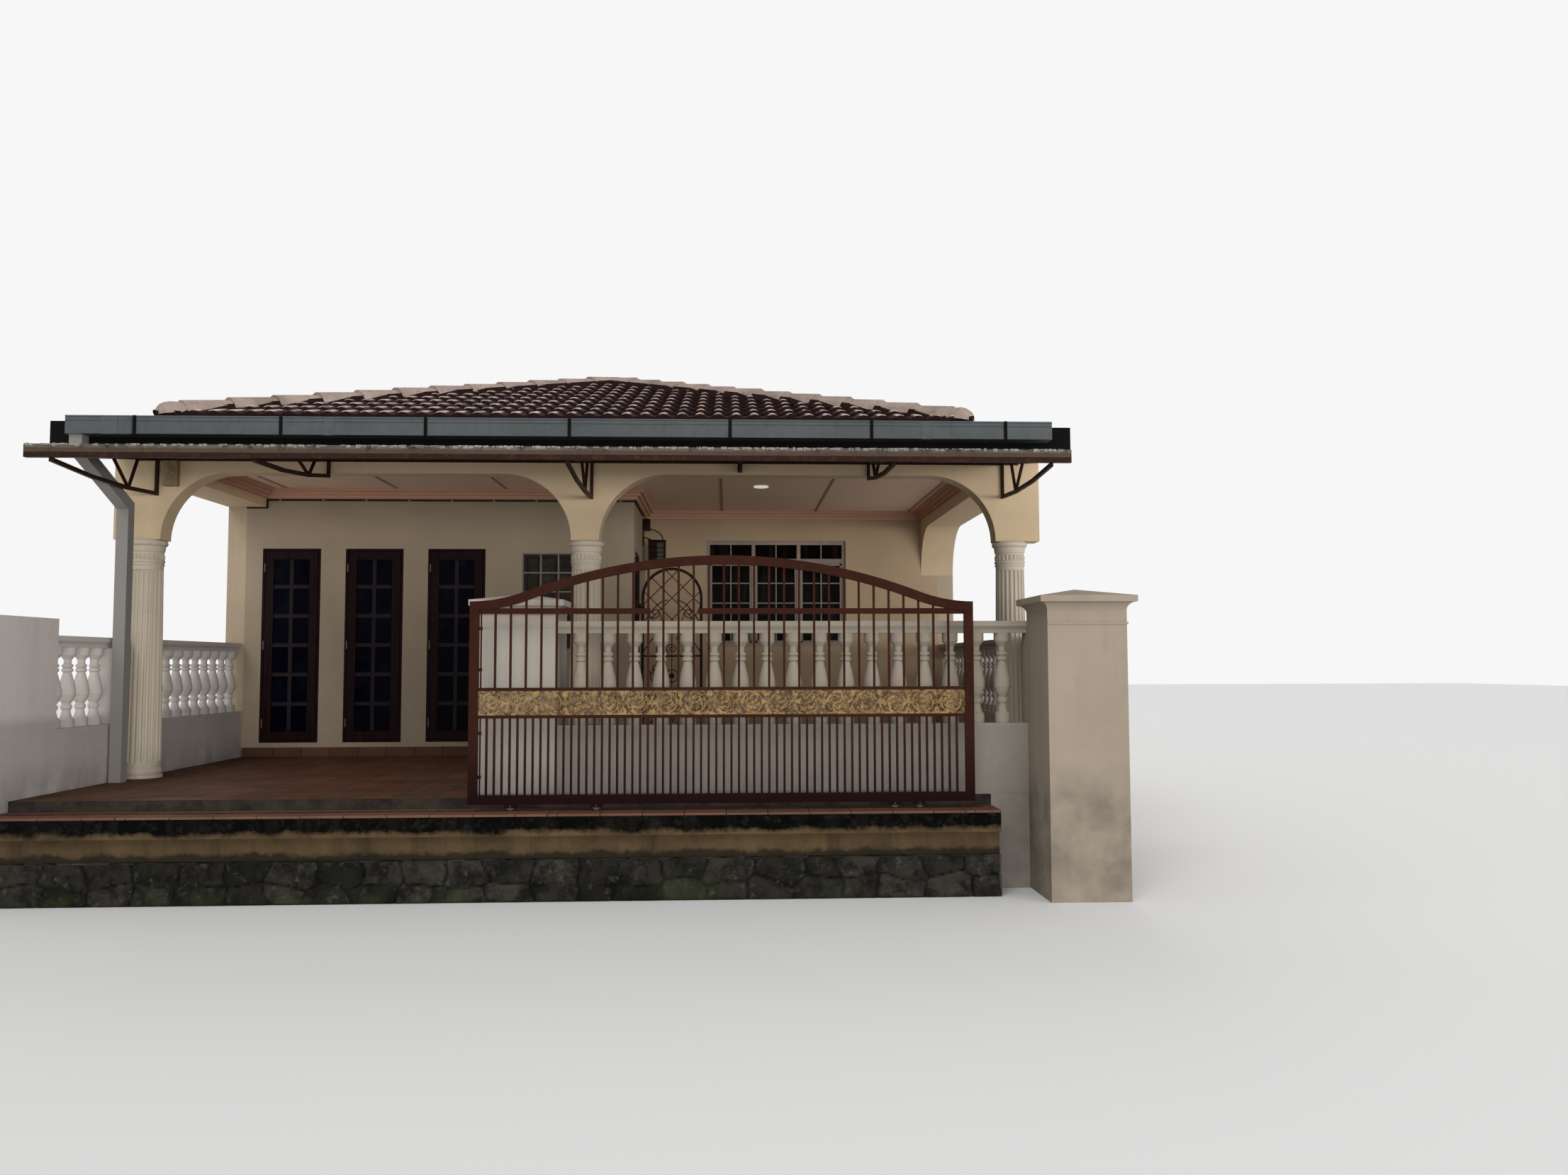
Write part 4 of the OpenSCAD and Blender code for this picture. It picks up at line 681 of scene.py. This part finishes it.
def cap_tiles():
    pile, bed = Pile(), Pile()
    top = EAVES_Z + ROOF_W * tan(PITCH)
    front = Vector((0, EAVES_FRONT + ROOF_W, top))
    rear = Vector((0, EAVES_REAR - ROOF_W, top))
    for side, past in ((1, 0.0), (-1, HIP_PAST)):
        for y, apex in ((EAVES_FRONT, front), (EAVES_REAR, rear)):
            foot = Vector((side * ROOF_W, y, EAVES_Z))
            cap_row(pile, bed, foot, apex + (apex - foot).normalized() * past, True)
    back = Vector((0, RIDGE_BACK, -RIDGE_DROP))
    cap_row(pile, bed, front + back, rear + Vector((0, -RIDGE_END, -RIDGE_DROP)), False)
    last = Vector((0, -RIDGE_END - 0.05, -RIDGE_DROP))
    cap_shell(pile, Vector((0, -1, 0)), ((rear + back, 1.0, 0.004), (rear + last, 1.0, 0.006)))
    bed.piece("cap_beds", "roof_tile")
    pile.piece("cap_tiles", "cap_tile", bevel=0.004, replaces=("ridge_caps",))


# Trim of the porch

STRIP_X0, STRIP_PITCH, STRIP_W, STRIP_T = 0.04, 1.172, 0.026, 0.007
CROSS_STRIP_Y0, CROSS_STRIP_Y1, CROSS_STRIP_T = 1.18, 1.22, 0.006
SKIRTING_H, SKIRTING_T = 0.085, 0.010


def ceiling_strips():
    """Flat battens over the joints of the ceiling boards."""
    pile = Pile()
    for k in range(-3, 4):
        x = STRIP_X0 + k * STRIP_PITCH
        back = PORCH_D if x < RETURN_X else RECESS_Y
        pile.block((x - STRIP_W / 2, 0.21, CEILING_Z - STRIP_T),
                   (x + STRIP_W / 2, back - 0.01, CEILING_Z))
    pile.block((-BEAM_X, CROSS_STRIP_Y0, CEILING_Z - CROSS_STRIP_T),
               (BEAM_X, CROSS_STRIP_Y1, CEILING_Z))
    look = board("ceiling joint strip", (0.36, 0.245, 0.19))
    pile.piece("ceiling_strips", "ceiling_board", bevel=0.002, look=look)


def skirting():
    """Dark tile skirting along the house walls."""
    pile = Pile()
    t = SKIRTING_T
    for low, high in (((-INNER_X, PORCH_D - t), (RETURN_X + t, PORCH_D)),
                      ((RETURN_X, PORCH_D), (RETURN_X + t, RECESS_Y)),
                      ((RETURN_X, RECESS_Y - t), (INNER_X, RECESS_Y))):
        pile.block((*low, PORCH_Z), (*high, PORCH_Z + SKIRTING_H))
    look = tile_floor("skirting tile", 0.30, (0.105, 0.050, 0.033), (0.055, 0.030, 0.021))
    pile.piece("skirting", "floor_tile", bevel=0.002, look=look)


# Windows as x, width, z, height and the y of the frame's front
WINDOW = (1.013, 1.756, 1.903, 1.326, RECESS_Y + 0.04)
SMALL_WINDOW = (-0.965, 0.77, 1.85, 1.05, PORCH_D + 0.04)
REAR_WINDOW = (-2.6, 1.5, 1.748, 1.2, HOUSE_D - 0.10)
SASH, SASH_EDGE, BAR, SMALL_EDGE = 0.045, 0.028, 0.016, 0.008
TRANSOM_PANE, TRANSOM_H = 0.176, 0.06


def pane_grid(pile, x0, x1, z0, z1, columns, rows, y0, y1):
    """Glazing bars that share an opening out into equal panes."""
    for k in range(1, columns):
        at = x0 + k * (x1 - x0) / columns
        pile.block((at - BAR / 2, y0, z0), (at + BAR / 2, y1, z1))
    for k in range(1, rows):
        at = z0 + k * (z1 - z0) / rows
        pile.block((x0, y0 + 0.002, at - BAR / 2), (x1, y1 - 0.002, at + BAR / 2))


def edge_bars(pile, x0, x1, z0, z1, y0, y1, edge):
    """Four bars just inside the edges of an opening."""
    for low, high in (((x0, z0), (x0 + edge, z1)), ((x1 - edge, z0), (x1, z1)),
                      ((x0, z0), (x1, z0 + edge)), ((x0, z1 - edge), (x1, z1))):
        pile.block((low[0], y0, low[1]), (high[0], y1, high[1]))


def casement(pile, x0, x1, z0, z1, y, columns, rows):
    """The moving sash round a bay of panes, with its glazing bars."""
    edge_bars(pile, x0, x1, z0, z1, y + 0.010, y + 0.050, SASH_EDGE)
    pane_grid(pile, x0, x1, z0, z1, columns, rows, y + 0.018, y + 0.045)


def window_bars():
    """Glazing bars and casement edges of the bedroom window and the rear window."""
    pile = Pile()
    x, w, z, h, y = WINDOW
    bay = (w - SASH) / 3
    transom = z + h - SASH - TRANSOM_PANE - TRANSOM_H
    for i in range(3):
        x0, x1 = x + SASH + i * bay, x + (i + 1) * bay
        pile.block((x0, y + 0.004, transom), (x1, y + 0.056, transom + TRANSOM_H))
        casement(pile, x0, x1, z + SASH, transom, y, 2, 4)
        pane_grid(pile, x0, x1, transom + TRANSOM_H, z + h - SASH, 2, 1, y + 0.018, y + 0.045)
    x, w, z, h, y = REAR_WINDOW
    casement(pile, x + SASH, x + w - SASH, z + SASH, z + h - SASH, y, 6, 4)
    look = board("window bars", (0.24, 0.20, 0.165), 0.6)
    pile.piece("window_bars", "window_metal", bevel=0.003, look=look)


def small_window_bars():
    pile = Pile()
    x, w, z, h, y = SMALL_WINDOW
    pane_grid(pile, x, x + w, z, z + h, 4, 5, y - 0.004, y + 0.045)
    edge_bars(pile, x, x + w, z, z + h, y - 0.003, y + 0.002, SMALL_EDGE)
    look = board("small window bars", (0.21, 0.175, 0.14), 0.6)
    pile.piece("small_window_bars", "window_metal", bevel=0.002, look=look)


HINGE_Z = (1.060, 1.899, 2.738)
KNUCKLE_R, KNUCKLE_HALF, KNUCKLE_PITCH = 0.0076, 0.0148, 0.0305


def hinge_sleeves():
    """Steel knuckles over the hinges of the three glazed doors."""
    steel = rusty_metal("hinge steel", (0.12, 0.10, 0.08), amount=0.5, metallic=0.3, gloss=0.3)
    for i, side in enumerate(("left", "middle", "right")):
        x = DOOR_X + i * DOOR_PITCH + PIN_DX
        fixed, moving = Pile(), Pile()
        for z in HINGE_Z:
            for pile, mid in ((fixed, z - KNUCKLE_PITCH), (fixed, z + KNUCKLE_PITCH), (moving, z)):
                pile.tube((x, PIN_Y, mid - KNUCKLE_HALF), (x, PIN_Y, mid + KNUCKLE_HALF), KNUCKLE_R)
        fixed.piece(side + "_jamb_knuckles", "roller_steel", smooth=40, look=steel)
        moving.piece(side + "_leaf_knuckles", "roller_steel", side + "_door_leaf",
                     smooth=40, look=steel)


LAMP, LAMP_W, LAMP_D = (RETURN_X + 0.075, 3.56, PORCH_Z + 2.2), 0.20, 0.18
LIGHT_AT = (RETURN_X + 1.39, 1.98)


def lamp_slab(pile, over, z0, z1):
    """A slab on the lantern's plan, grown by over, between two heights above its foot."""
    x, y, z = LAMP
    pile.block((x - over, y - over, z + z0), (x + LAMP_W + over, y + LAMP_D + over, z + z1))


def lantern():
    """Panes, cross bars and bracket of the wall lantern."""
    x, y, z = LAMP
    mid_y = y + LAMP_D / 2
    glass = Pile()
    lamp_slab(glass, -0.016, 0.03, 0.25)
    pane = board("lantern glass", (0.075, 0.068, 0.055), 0.2)
    glass.piece("lantern_glass", "dark_glass", look=pane)
    bars = Pile()
    bars.block((x + 0.010, y + 0.010, z + 0.02), (x + 0.105, y + 0.170, z + 0.262))
    arc = [(x - 0.05 + 0.22 * sin(a), z + 0.29 + 0.14 * cos(a))
           for a in (pi / 2 * k / 8 for k in range(9))]
    for (x0, z0), (x1, z1) in zip(arc, arc[1:]):
        bars.tube((x0, mid_y, z0), (x1, mid_y, z1), 0.007, 8)
    for k in range(3):
        at = 0.075 + 0.055 * k
        lamp_slab(bars, 0.002, at, at + 0.008)
    lamp_slab(bars, 0.008, 0.272, 0.284)
    bars.tube((x + LAMP_W / 2, mid_y, z - 0.03), (x + LAMP_W / 2, mid_y, z), 0.02)
    bars.piece("lantern_bars", "wrought_iron", bevel=0.002)


def ceiling_light():
    """The downlight's pale face, in two steps, with a faint glow as painted light."""
    light = Pile()
    for drop, radius in ((0.016, 0.080), (0.020, 0.060)):
        light.tube((*LIGHT_AT, CEILING_Z - drop), (*LIGHT_AT, CEILING_Z - 0.004), radius, 32)
    glowing_face = board("reflector", (0.85, 0.84, 0.80), 0.4)
    # A faint glow makes the face brighter: painted light.
    surface = glowing_face.node_tree.nodes["Principled BSDF"].inputs
    surface["Emission Color"].default_value = (1, 0.97, 0.92, 1)
    surface["Emission Strength"].default_value = 0.45
    light.piece("ceiling_light", "white_paint", bevel=0.003, smooth=40, look=glowing_face)


# Columns and fence

COLUMN_X, COLUMN_Y, CAPITAL_TOP, NECK_R = 3.875, 0.10, 2.795, 0.1275
EGG_COUNT, EGG_RINGS, EGG_SIDES, EGG_DROP = 22, 5, 6, 0.148
EGG_W, EGG_D, EGG_H = 0.0135, 0.011, 0.027
DART_R, DART_H = 0.0035, 0.024


def egg(pile, middle, side, out):
    """Half of a rounded body that stands out of the capital's neck."""
    verts, n = [], EGG_SIDES
    for k in range(EGG_RINGS):
        lat = pi * (k + 0.5) / EGG_RINGS - pi / 2
        wide, high = cos(lat), sin(lat)
        for b in (pi * j / (n - 1) for j in range(n)):
            verts.append(middle + side * (EGG_W * wide * cos(b))
                         + out * (EGG_D * wide * sin(b)) + Vector((0, 0, EGG_H * high)))
    pile.add(verts, sheet_faces(EGG_RINGS, n))


def capital_eggs():
    """Egg-and-dart band round each capital."""
    pile = Pile()
    for x in (-COLUMN_X, 0.0, COLUMN_X):
        for a in (2 * pi * i / EGG_COUNT for i in range(EGG_COUNT)):
            out = Vector((cos(a), sin(a), 0))
            side = Vector((-out.y, out.x, 0))
            middle = Vector((x, COLUMN_Y, CAPITAL_TOP - EGG_DROP)) + out * (NECK_R - 0.001)
            egg(pile, middle, side, out)
            dart = middle + (side * 0.019 + out * 0.002)
            pile.tube(dart - Vector((0, 0, DART_H)), dart + Vector((0, 0, DART_H)), DART_R, 6)
    pile.piece("capital_eggs", "white_paint", smooth=60, look=LIT_COLUMN_PAINT)


PILLAR_X0 = HALF_W - 0.575


def fence_foot():
    """Plaster that runs down from the fence to the ground beside the right pillar."""
    pile = Pile()
    pile.block((LEDGE_X + 0.002, LEDGE_BACK - 0.011, 0.002),
               (PILLAR_X0 - 0.002, LEDGE_BACK + 0.001, PORCH_Z))
    pile.piece("fence_foot", "white_paint", look=SHADED_LOW_WALL)


# Wrought ornament

LEAF_X0, LEAF_Y, LEAF_Z0, LEAF_W = 0.321, 2.517, 0.715, 0.68
WIRE_SIDES = 6


def spiral(x, z, r0, r1, start, turn, steps=10):
    """Points of (x, z) round a centre, from radius r0 to r1, through turn degrees."""
    points = []
    for t in (i / steps for i in range(steps + 1)):
        r, a = r0 + (r1 - r0) * t, radians(start + turn * t)
        points.append((x + r * cos(a), z + r * sin(a)))
    return points


def across_path(path):
    """Each point of a path of (x, z), with the direction across the path there."""
    n = len(path)
    for i, (x, z) in enumerate(path):
        ahead, behind = path[min(i + 1, n - 1)], path[max(i - 1, 0)]
        dx, dz = ahead[0] - behind[0], ahead[1] - behind[1]
        size = hypot(dx, dz)
        yield x, z, -dz / size, dx / size


def wire(pile, path, radius):
    """A round rod along a path of (x, z) in the iron leaf's plane."""
    verts = []
    for x, z, side_x, side_z in across_path(path):
        for a in (2 * pi * k / WIRE_SIDES for k in range(WIRE_SIDES)):
            across, deep = radius * cos(a), radius * sin(a)
            verts.append((x + side_x * across, LEAF_Y + deep, z + side_z * across))
    pile.add(verts, tube_faces(len(path), WIRE_SIDES))


def grille_scrolls():
    """Wrought scrolls and curved bars of the iron leaf."""
    pile = Pile()
    mid = LEAF_X0 + LEAF_W / 2
    half = LEAF_W / 2 - 0.02
    scroll_r, stem_r, bow_r = 0.0055, 0.005, 0.006
    for s in (-1, 1):
        for z in (0.30, 0.62, 1.24):
            low, high = LEAF_Z0 + z, LEAF_Z0 + z + 0.30
            wire(pile, spiral(mid + s * 0.13, low, 0.012, 0.075, 90, s * 450, 26), scroll_r)
            wire(pile, spiral(mid + s * 0.19, high, 0.012, 0.070, -90, s * 430, 24), scroll_r)
            wire(pile, [(mid + s * (0.055 + 0.08 * t), low + (high - low) * t)
                        for t in (0.0, 0.2, 0.4, 0.6, 0.8, 1.0)], stem_r)
        for z, rise in ((1.42, 0.26), (1.10, 0.26), (0.22, 0.20)):
            wire(pile, [(mid + s * (half - (half - 0.05) * t), LEAF_Z0 + z + rise * sin(pi * t / 2))
                        for t in (k / 10 for k in range(11))], bow_r)
    for z in (0.52, 1.14):
        wire(pile, spiral(mid, LEAF_Z0 + z, 0.010, 0.060, 0, 600, 30), scroll_r)
    pile.piece("grille_scrolls", "wrought_iron", "iron_leaf", smooth=40)


LACE_CENTRES, LACE_DEPTH = 17, 0.0045


def leaf(pile, path, width):
    """A slim leaf along a path of (x, z) in the gate's plane, thick in the middle."""
    verts = []
    for i, (x, z, side_x, side_z) in enumerate(across_path(path)):
        swell = sin(pi * (i + 0.5) / len(path)) ** 0.6
        sx, sz = side_x * width / 2 * swell, side_z * width / 2 * swell
        t = LACE_DEPTH * (0.5 + 0.5 * swell)
        verts += [(x - sx, GATE_Y, z - sz), (x, GATE_Y - t, z),
                  (x + sx, GATE_Y, z + sz), (x, GATE_Y + t, z)]
    pile.add(verts, tube_faces(len(path), 4, ends=False))


def rosette(pile, x, z, way):
    """Leaves that wind round the middle of one of the band's rings."""
    for k in range(7):
        leaf(pile, spiral(x, z, 0.066, 0.020, k * 360 / 7, 125 * way), 0.015)
    for k in range(5):
        leaf(pile, spiral(x, z, 0.020, 0.004, k * 72, 60 * way, 4), 0.011)


def spandrel(pile, x, z, s, t):
    """Scrolls in one of the four corners at the place where two rings meet."""
    turn, start = 300 * s * t, -90 * t
    leaf(pile, spiral(x + s * 0.021, z + t * 0.061, 0.021, 0.004, start, turn), 0.011)
    leaf(pile, spiral(x + s * 0.046, z + t * 0.072, 0.012, 0.003, start, turn, 8), 0.009)
    leaf(pile, spiral(x + s * 0.014, z + t * 0.022, 0.017, 0.004, 90 * t, -turn), 0.010)
    leaf(pile, [(x + s * 0.002, z + t * (0.008 + 0.010 * k)) for k in range(8)], 0.009)
    leaf(pile, [(x + s * (0.002 + 0.0045 * k), z + t * (0.03 + 0.009 * k)) for k in range(6)],
         0.010)


def gate_lace():
    """Dense leaf scrolls that fill the ornament band between and inside its rings."""
    pile = Pile()
    x0, x1 = GATE_X0 + GATE_TUBE, GATE_X1 - GATE_TUBE
    mid = (BAND_Z0 + BAND_Z1) / 2
    step = (x1 - x0) / LACE_CENTRES
    for i in range(LACE_CENTRES):
        rosette(pile, x0 + (i + 0.5) * step, mid, 1 if i % 2 else -1)
    for x in (x0 + i * step for i in range(LACE_CENTRES + 1)):
        for s in (-1, 1):
            if x0 <= x + s * 0.02 <= x1:
                spandrel(pile, x, mid, s, -1)
                spandrel(pile, x, mid, s, 1)
    pile.piece("gate_lace", "gate_gold", "gate", smooth=30)


ROD_R, ROD_GAP, ROD_REACH = 0.006, 0.022, 0.005
GUIDE_FROM_END, GUIDE_H, GUIDE_D = 0.12, 0.024, 0.010


def gate_rod():
    """The bolt rod beside the gate's left stile, with its guides."""
    pile = Pile()
    x = GATE_X0 + GATE_TUBE + 0.016
    for z0, z1 in ((GATE_Z + GATE_TUBE, BAND_Z0 - ROD_GAP), (BAND_Z1 + ROD_GAP, GATE_END - 0.09)):
        pile.tube((x, GATE_Y, z0 - ROD_REACH), (x, GATE_Y, z1 + ROD_REACH), ROD_R)
        for at in (z0 + GUIDE_FROM_END, z1 - GUIDE_FROM_END):
            pile.block((x - 0.017, GATE_Y - GUIDE_D, at),
                       (x + 0.009, GATE_Y + GUIDE_D, at + GUIDE_H))
    pile.piece("gate_rod", "gate_paint", "gate", bevel=0.001)


# Gutter and awning

GUTTER_Y, GUTTER_Z, GUTTER_H = -1.145, 3.51, 0.145
STRAP_X = (-3.40, -2.265, -1.13, 0.01, 1.30, 2.45, 3.55)
STRAP_W = 0.026
SLEEVE_X = ((-3.657, -3.532), (-3.52, -3.43), (-1.93, -1.85), (2.86, 2.94))


def gutter_trim():
    """Rolled lip, joint sleeves and dark straps of the gutter."""
    top = GUTTER_Z + GUTTER_H
    metal = Pile()
    for z, h in ((top - 0.010, 0.012), (top - 0.040, 0.006), (GUTTER_Z, 0.005)):
        metal.block((-INNER_X, GUTTER_Y - 0.006, z), (INNER_X, GUTTER_Y, z + h))
    for x0, x1 in SLEEVE_X:
        metal.block((x0, GUTTER_Y - 0.004, GUTTER_Z - 0.004), (x1, GUTTER_Y, top + 0.002))
    metal.piece("gutter_lip", "gutter_metal", bevel=0.002)
    straps = Pile()
    for x0, x1 in ((x - STRAP_W / 2, x + STRAP_W / 2) for x in STRAP_X):
        straps.block((x0, GUTTER_Y - 0.008, GUTTER_Z - 0.006), (x1, GUTTER_Y, top + 0.003))
        straps.block((x0, GUTTER_Y - 0.006, top), (x1, EAVES_FRONT, top + 0.004))
    straps.piece("gutter_straps", "fascia", bevel=0.001)


RIPPLE, RIPPLE_H, RIPPLE_LIFT, RIPPLE_X0 = 0.076, 0.008, 0.010, -3.70


def awning_ripples():
    """Ripples on the awning's sheet."""
    verts = []
    x0, x1 = RIPPLE_X0, INNER_X - 0.002
    count = int((x1 - x0) / (RIPPLE / 8))
    fall = AWNING_FALL / AWNING_D
    for i in range(count + 1):
        x = x0 + (x1 - x0) * i / count
        lift = RIPPLE_LIFT + RIPPLE_H * (1 + cos(2 * pi * (x - x0) / RIPPLE)) / 2
        verts += [(x, y, AWNING_Z + y * fall + lift) for y in (-0.005, -0.8, -AWNING_D + 0.012)]
    sheet = Pile()
    sheet.add(verts, [face[::-1] for face in sheet_faces(count + 1, 3)])
    sheet.piece("awning_ripples", "awning_plastic", smooth=60)


def awning_edge():
    """Flaking pale edge above the awning's front strip."""
    edge = Pile()
    top = AWNING_Z - AWNING_FALL + 0.06
    x = -INNER_X + 0.01
    while x < INNER_X - 0.04:
        w = rng.uniform(0.008, 0.045)
        if rng.random() < 0.75:
            edge.block((x, -AWNING_D - 0.0015, top - rng.uniform(0.006, 0.02)),
                       (x + w, -AWNING_D + 0.009, top + rng.uniform(0.001, 0.006)))
        x += w + rng.uniform(0.0, 0.01)
    look = awning_plastic("sheet edge", (0.30, 0.28, 0.24))
    edge.piece("awning_edge", "awning_plastic", look=look)


# Ledge and footing

LEDGE_TILE, LEDGE_JOINT, LEDGE_TILE_T = 0.30, 0.004, 0.010


def ledge_tiles():
    """Thin terracotta tiles on the ledge, their edges showing at the front."""
    pile = Pile()
    half_joint = LEDGE_JOINT / 2
    front_row = (LEDGE_FRONT - 0.006, LEDGE_FRONT + 0.13)
    back_row = (LEDGE_FRONT + 0.134, LEDGE_BACK)
    x = -HALF_W
    while x < LEDGE_X - 0.02:
        x1 = min(LEDGE_X + 0.004, x + LEDGE_TILE)
        top = LEDGE_Z + LEDGE_TILE_T + rng.uniform(-0.001, 0.001)
        for y0, y1 in (front_row, back_row):
            pile.block((x + half_joint, y0, LEDGE_Z - 0.008), (x1 - half_joint, y1, top))
        x = x1
    look = tile_floor("ledge tile", 3.0, (0.135, 0.068, 0.044), (0.06, 0.036, 0.026))
    pile.piece("ledge_tiles", "floor_tile", bevel=0.003, look=look)


RUBBLE_X0, RUBBLE_X1 = -HALF_W + 0.004, LEDGE_X - 0.012
RUBBLE_TOP, RUBBLE_Y, RUBBLE_GRID = 0.298, -2.0295, 0.0145
STONE_W, STONE_ROWS, STONE_SHIFT = 0.31, (0.055, 0.215), 0.045
STONE_DEPTH, STONE_ROUGH, JOINT_W = 0.017, 0.006, 0.030


def rubble_point(x, z, seeds):
    """Relief, tone and joint of the footing's face at a place, from its two nearest stones."""
    bend = 0.025 * noise.noise(Vector((5 * x, 0, 9 * z)))
    order = sorted((hypot(0.62 * (x - sx + bend), z - sz + bend), tone) for sx, sz, tone in seeds)
    (near, tone), (second, _) = order[:2]
    rim = min(1.0, (second - near) / JOINT_W)
    rough = noise.noise(Vector((16 * x, tone * 9, 16 * z)))
    depth = STONE_DEPTH * rim * (2 - rim) + STONE_ROUGH * rough * rim
    return max(0.0, depth), tone, max(0.0, 1 - 1.8 * rim)


def rubble_face():
    """Rough stones with sunk joints on the front of the footing under the ledge."""
    width = RUBBLE_X1 - RUBBLE_X0
    seeds = [(RUBBLE_X0 + (k + rng.uniform(0.2, 0.8)) * STONE_W,
              z + rng.uniform(-STONE_SHIFT, STONE_SHIFT), rng.random())
             for z in STONE_ROWS for k in range(int(width / STONE_W) + 1)]
    columns, rows = int(width / RUBBLE_GRID), int(RUBBLE_TOP / RUBBLE_GRID)
    verts, tones, joints = [], [], []
    for i in range(columns + 1):
        x = RUBBLE_X0 + width * i / columns
        near = [s for s in seeds if abs(s[0] - x) < 0.6]
        for k in range(rows + 1):
            z = RUBBLE_TOP * k / rows
            depth, tone, joint = rubble_point(x, z, near)
            at_edge = i in (0, columns) or k in (0, rows)
            verts.append((x, RUBBLE_Y + 0.003 if at_edge else RUBBLE_Y - depth, z))
            tones.append(tone)
            joints.append(joint)
    pile = Pile()
    pile.add(verts, sheet_faces(columns + 1, rows + 1))
    obj = pile.piece("rubble_face", "rubble", smooth=70, look=rubble_front())
    for name, values in (("tone", tones), ("joint", joints)):
        obj.data.attributes.new(name, "FLOAT", "POINT").data.foreach_set("value", values)


for make in (roof_tiles, cap_tiles, ceiling_strips, skirting, window_bars, small_window_bars,
             hinge_sleeves, lantern, ceiling_light, capital_eggs, fence_foot, grille_scrolls,
             gutter_trim, awning_ripples, awning_edge, ledge_tiles, rubble_face,
             gate_lace, gate_rod):
    make()


# Camera, light and floor

CAMERA_AT = Vector((1.279, -10.442, 1.6815))
YAW, CAMERA_PITCH, ROLL_ANGLE = (radians(a) for a in (2.681, 3.351, -0.157))
FOCAL_PX, FRAME_W, FRAME_H = 1636.6, 2212, 1658
AXIS_PX = (1102.8, 841.1)
SENSOR_W = 36
BACKDROP, SKY = (0.93, 0.93, 0.93, 1), (0.95, 0.97, 1.0, 1)


def photo_camera():
    """The photograph's view."""
    forward = Vector((sin(YAW) * cos(CAMERA_PITCH), cos(YAW) * cos(CAMERA_PITCH),
                      sin(CAMERA_PITCH)))
    right = Vector((cos(YAW), -sin(YAW), 0))
    up = right.cross(forward)
    right, up = (right * cos(ROLL_ANGLE) + up * sin(ROLL_ANGLE),
                 up * cos(ROLL_ANGLE) - right * sin(ROLL_ANGLE))
    lens = bpy.data.cameras.new("camera")
    lens.sensor_fit, lens.sensor_width = "HORIZONTAL", SENSOR_W
    lens.lens = SENSOR_W * FOCAL_PX / FRAME_W
    lens.shift_x = (FRAME_W / 2 - AXIS_PX[0]) / FRAME_W
    lens.shift_y = (AXIS_PX[1] - FRAME_H / 2) / FRAME_W
    camera = stand("camera", lens)
    turn = Matrix((right, up, -forward)).transposed().to_4x4()
    camera.matrix_world = Matrix.Translation(CAMERA_AT) @ turn
    bpy.context.scene.camera = camera


def sun(name, strength, spread, aim):
    data = bpy.data.lights.new(name, "SUN")
    data.energy, data.angle = strength, radians(spread)
    stand(name, data).rotation_euler = Vector(aim).to_track_quat("-Z", "Y").to_euler()


def low_panel():
    """A wide, low panel far in front reaches under the awning, as light off the street does."""
    data = bpy.data.lights.new("low panel", "AREA")
    data.shape, data.size, data.size_y, data.energy = "RECTANGLE", 36, 3.8, 5200
    panel = stand("low panel", data)
    panel.location = (14, -27, 2.0)
    panel.rotation_euler = (radians(90), 0, radians(25))
    panel.visible_glossy = False


def studio_world():
    """A plain backdrop, seen straight, mirrored or through glass, and a dimmer sky that lights."""
    world = bpy.data.worlds.new("studio")
    bpy.context.scene.world = world
    world.use_nodes = True
    tree = world.node_tree
    tree.nodes.clear()
    light_path = tree.nodes.new("ShaderNodeLightPath")
    seen = light_path.outputs["Is Camera Ray"]
    for kind in ("Is Glossy Ray", "Is Transmission Ray"):
        either = tree.nodes.new("ShaderNodeMath")
        either.operation = "MAXIMUM"
        tree.links.new(seen, either.inputs[0])
        tree.links.new(light_path.outputs[kind], either.inputs[1])
        seen = either.outputs[0]
    blend = tree.nodes.new("ShaderNodeMixShader")
    tree.links.new(seen, blend.inputs[0])
    for socket, color, strength in ((1, SKY, 0.6), (2, BACKDROP, 1.0)):
        node = tree.nodes.new("ShaderNodeBackground")
        node.inputs["Color"].default_value = color
        node.inputs["Strength"].default_value = strength
        tree.links.new(node.outputs[0], blend.inputs[socket])
    output = tree.nodes.new("ShaderNodeOutputWorld")
    tree.links.new(blend.outputs[0], output.inputs["Surface"])


def studio_floor():
    mesh = bpy.data.meshes.new("floor")
    mesh.from_pydata([(-60, -16, 0), (60, -16, 0), (60, 80, 0), (-60, 80, 0)], [], [(0, 1, 2, 3)])
    mesh.materials.append(Graph("floor", 0.9, gloss=0.1).finish((0.80, 0.79, 0.77)))
    floor = stand("floor", mesh)


photo_camera()
sun("key", 0.8, 25, (0.35, 0.70, -0.66))
sun("fill", 0.4, 60, (-0.6, 0.5, -0.3))
sun("back", 0.6, 40, (0.1, -0.8, -0.6))
low_panel()
studio_world()
studio_floor()
bpy.context.scene.view_settings.view_transform = "Standard"
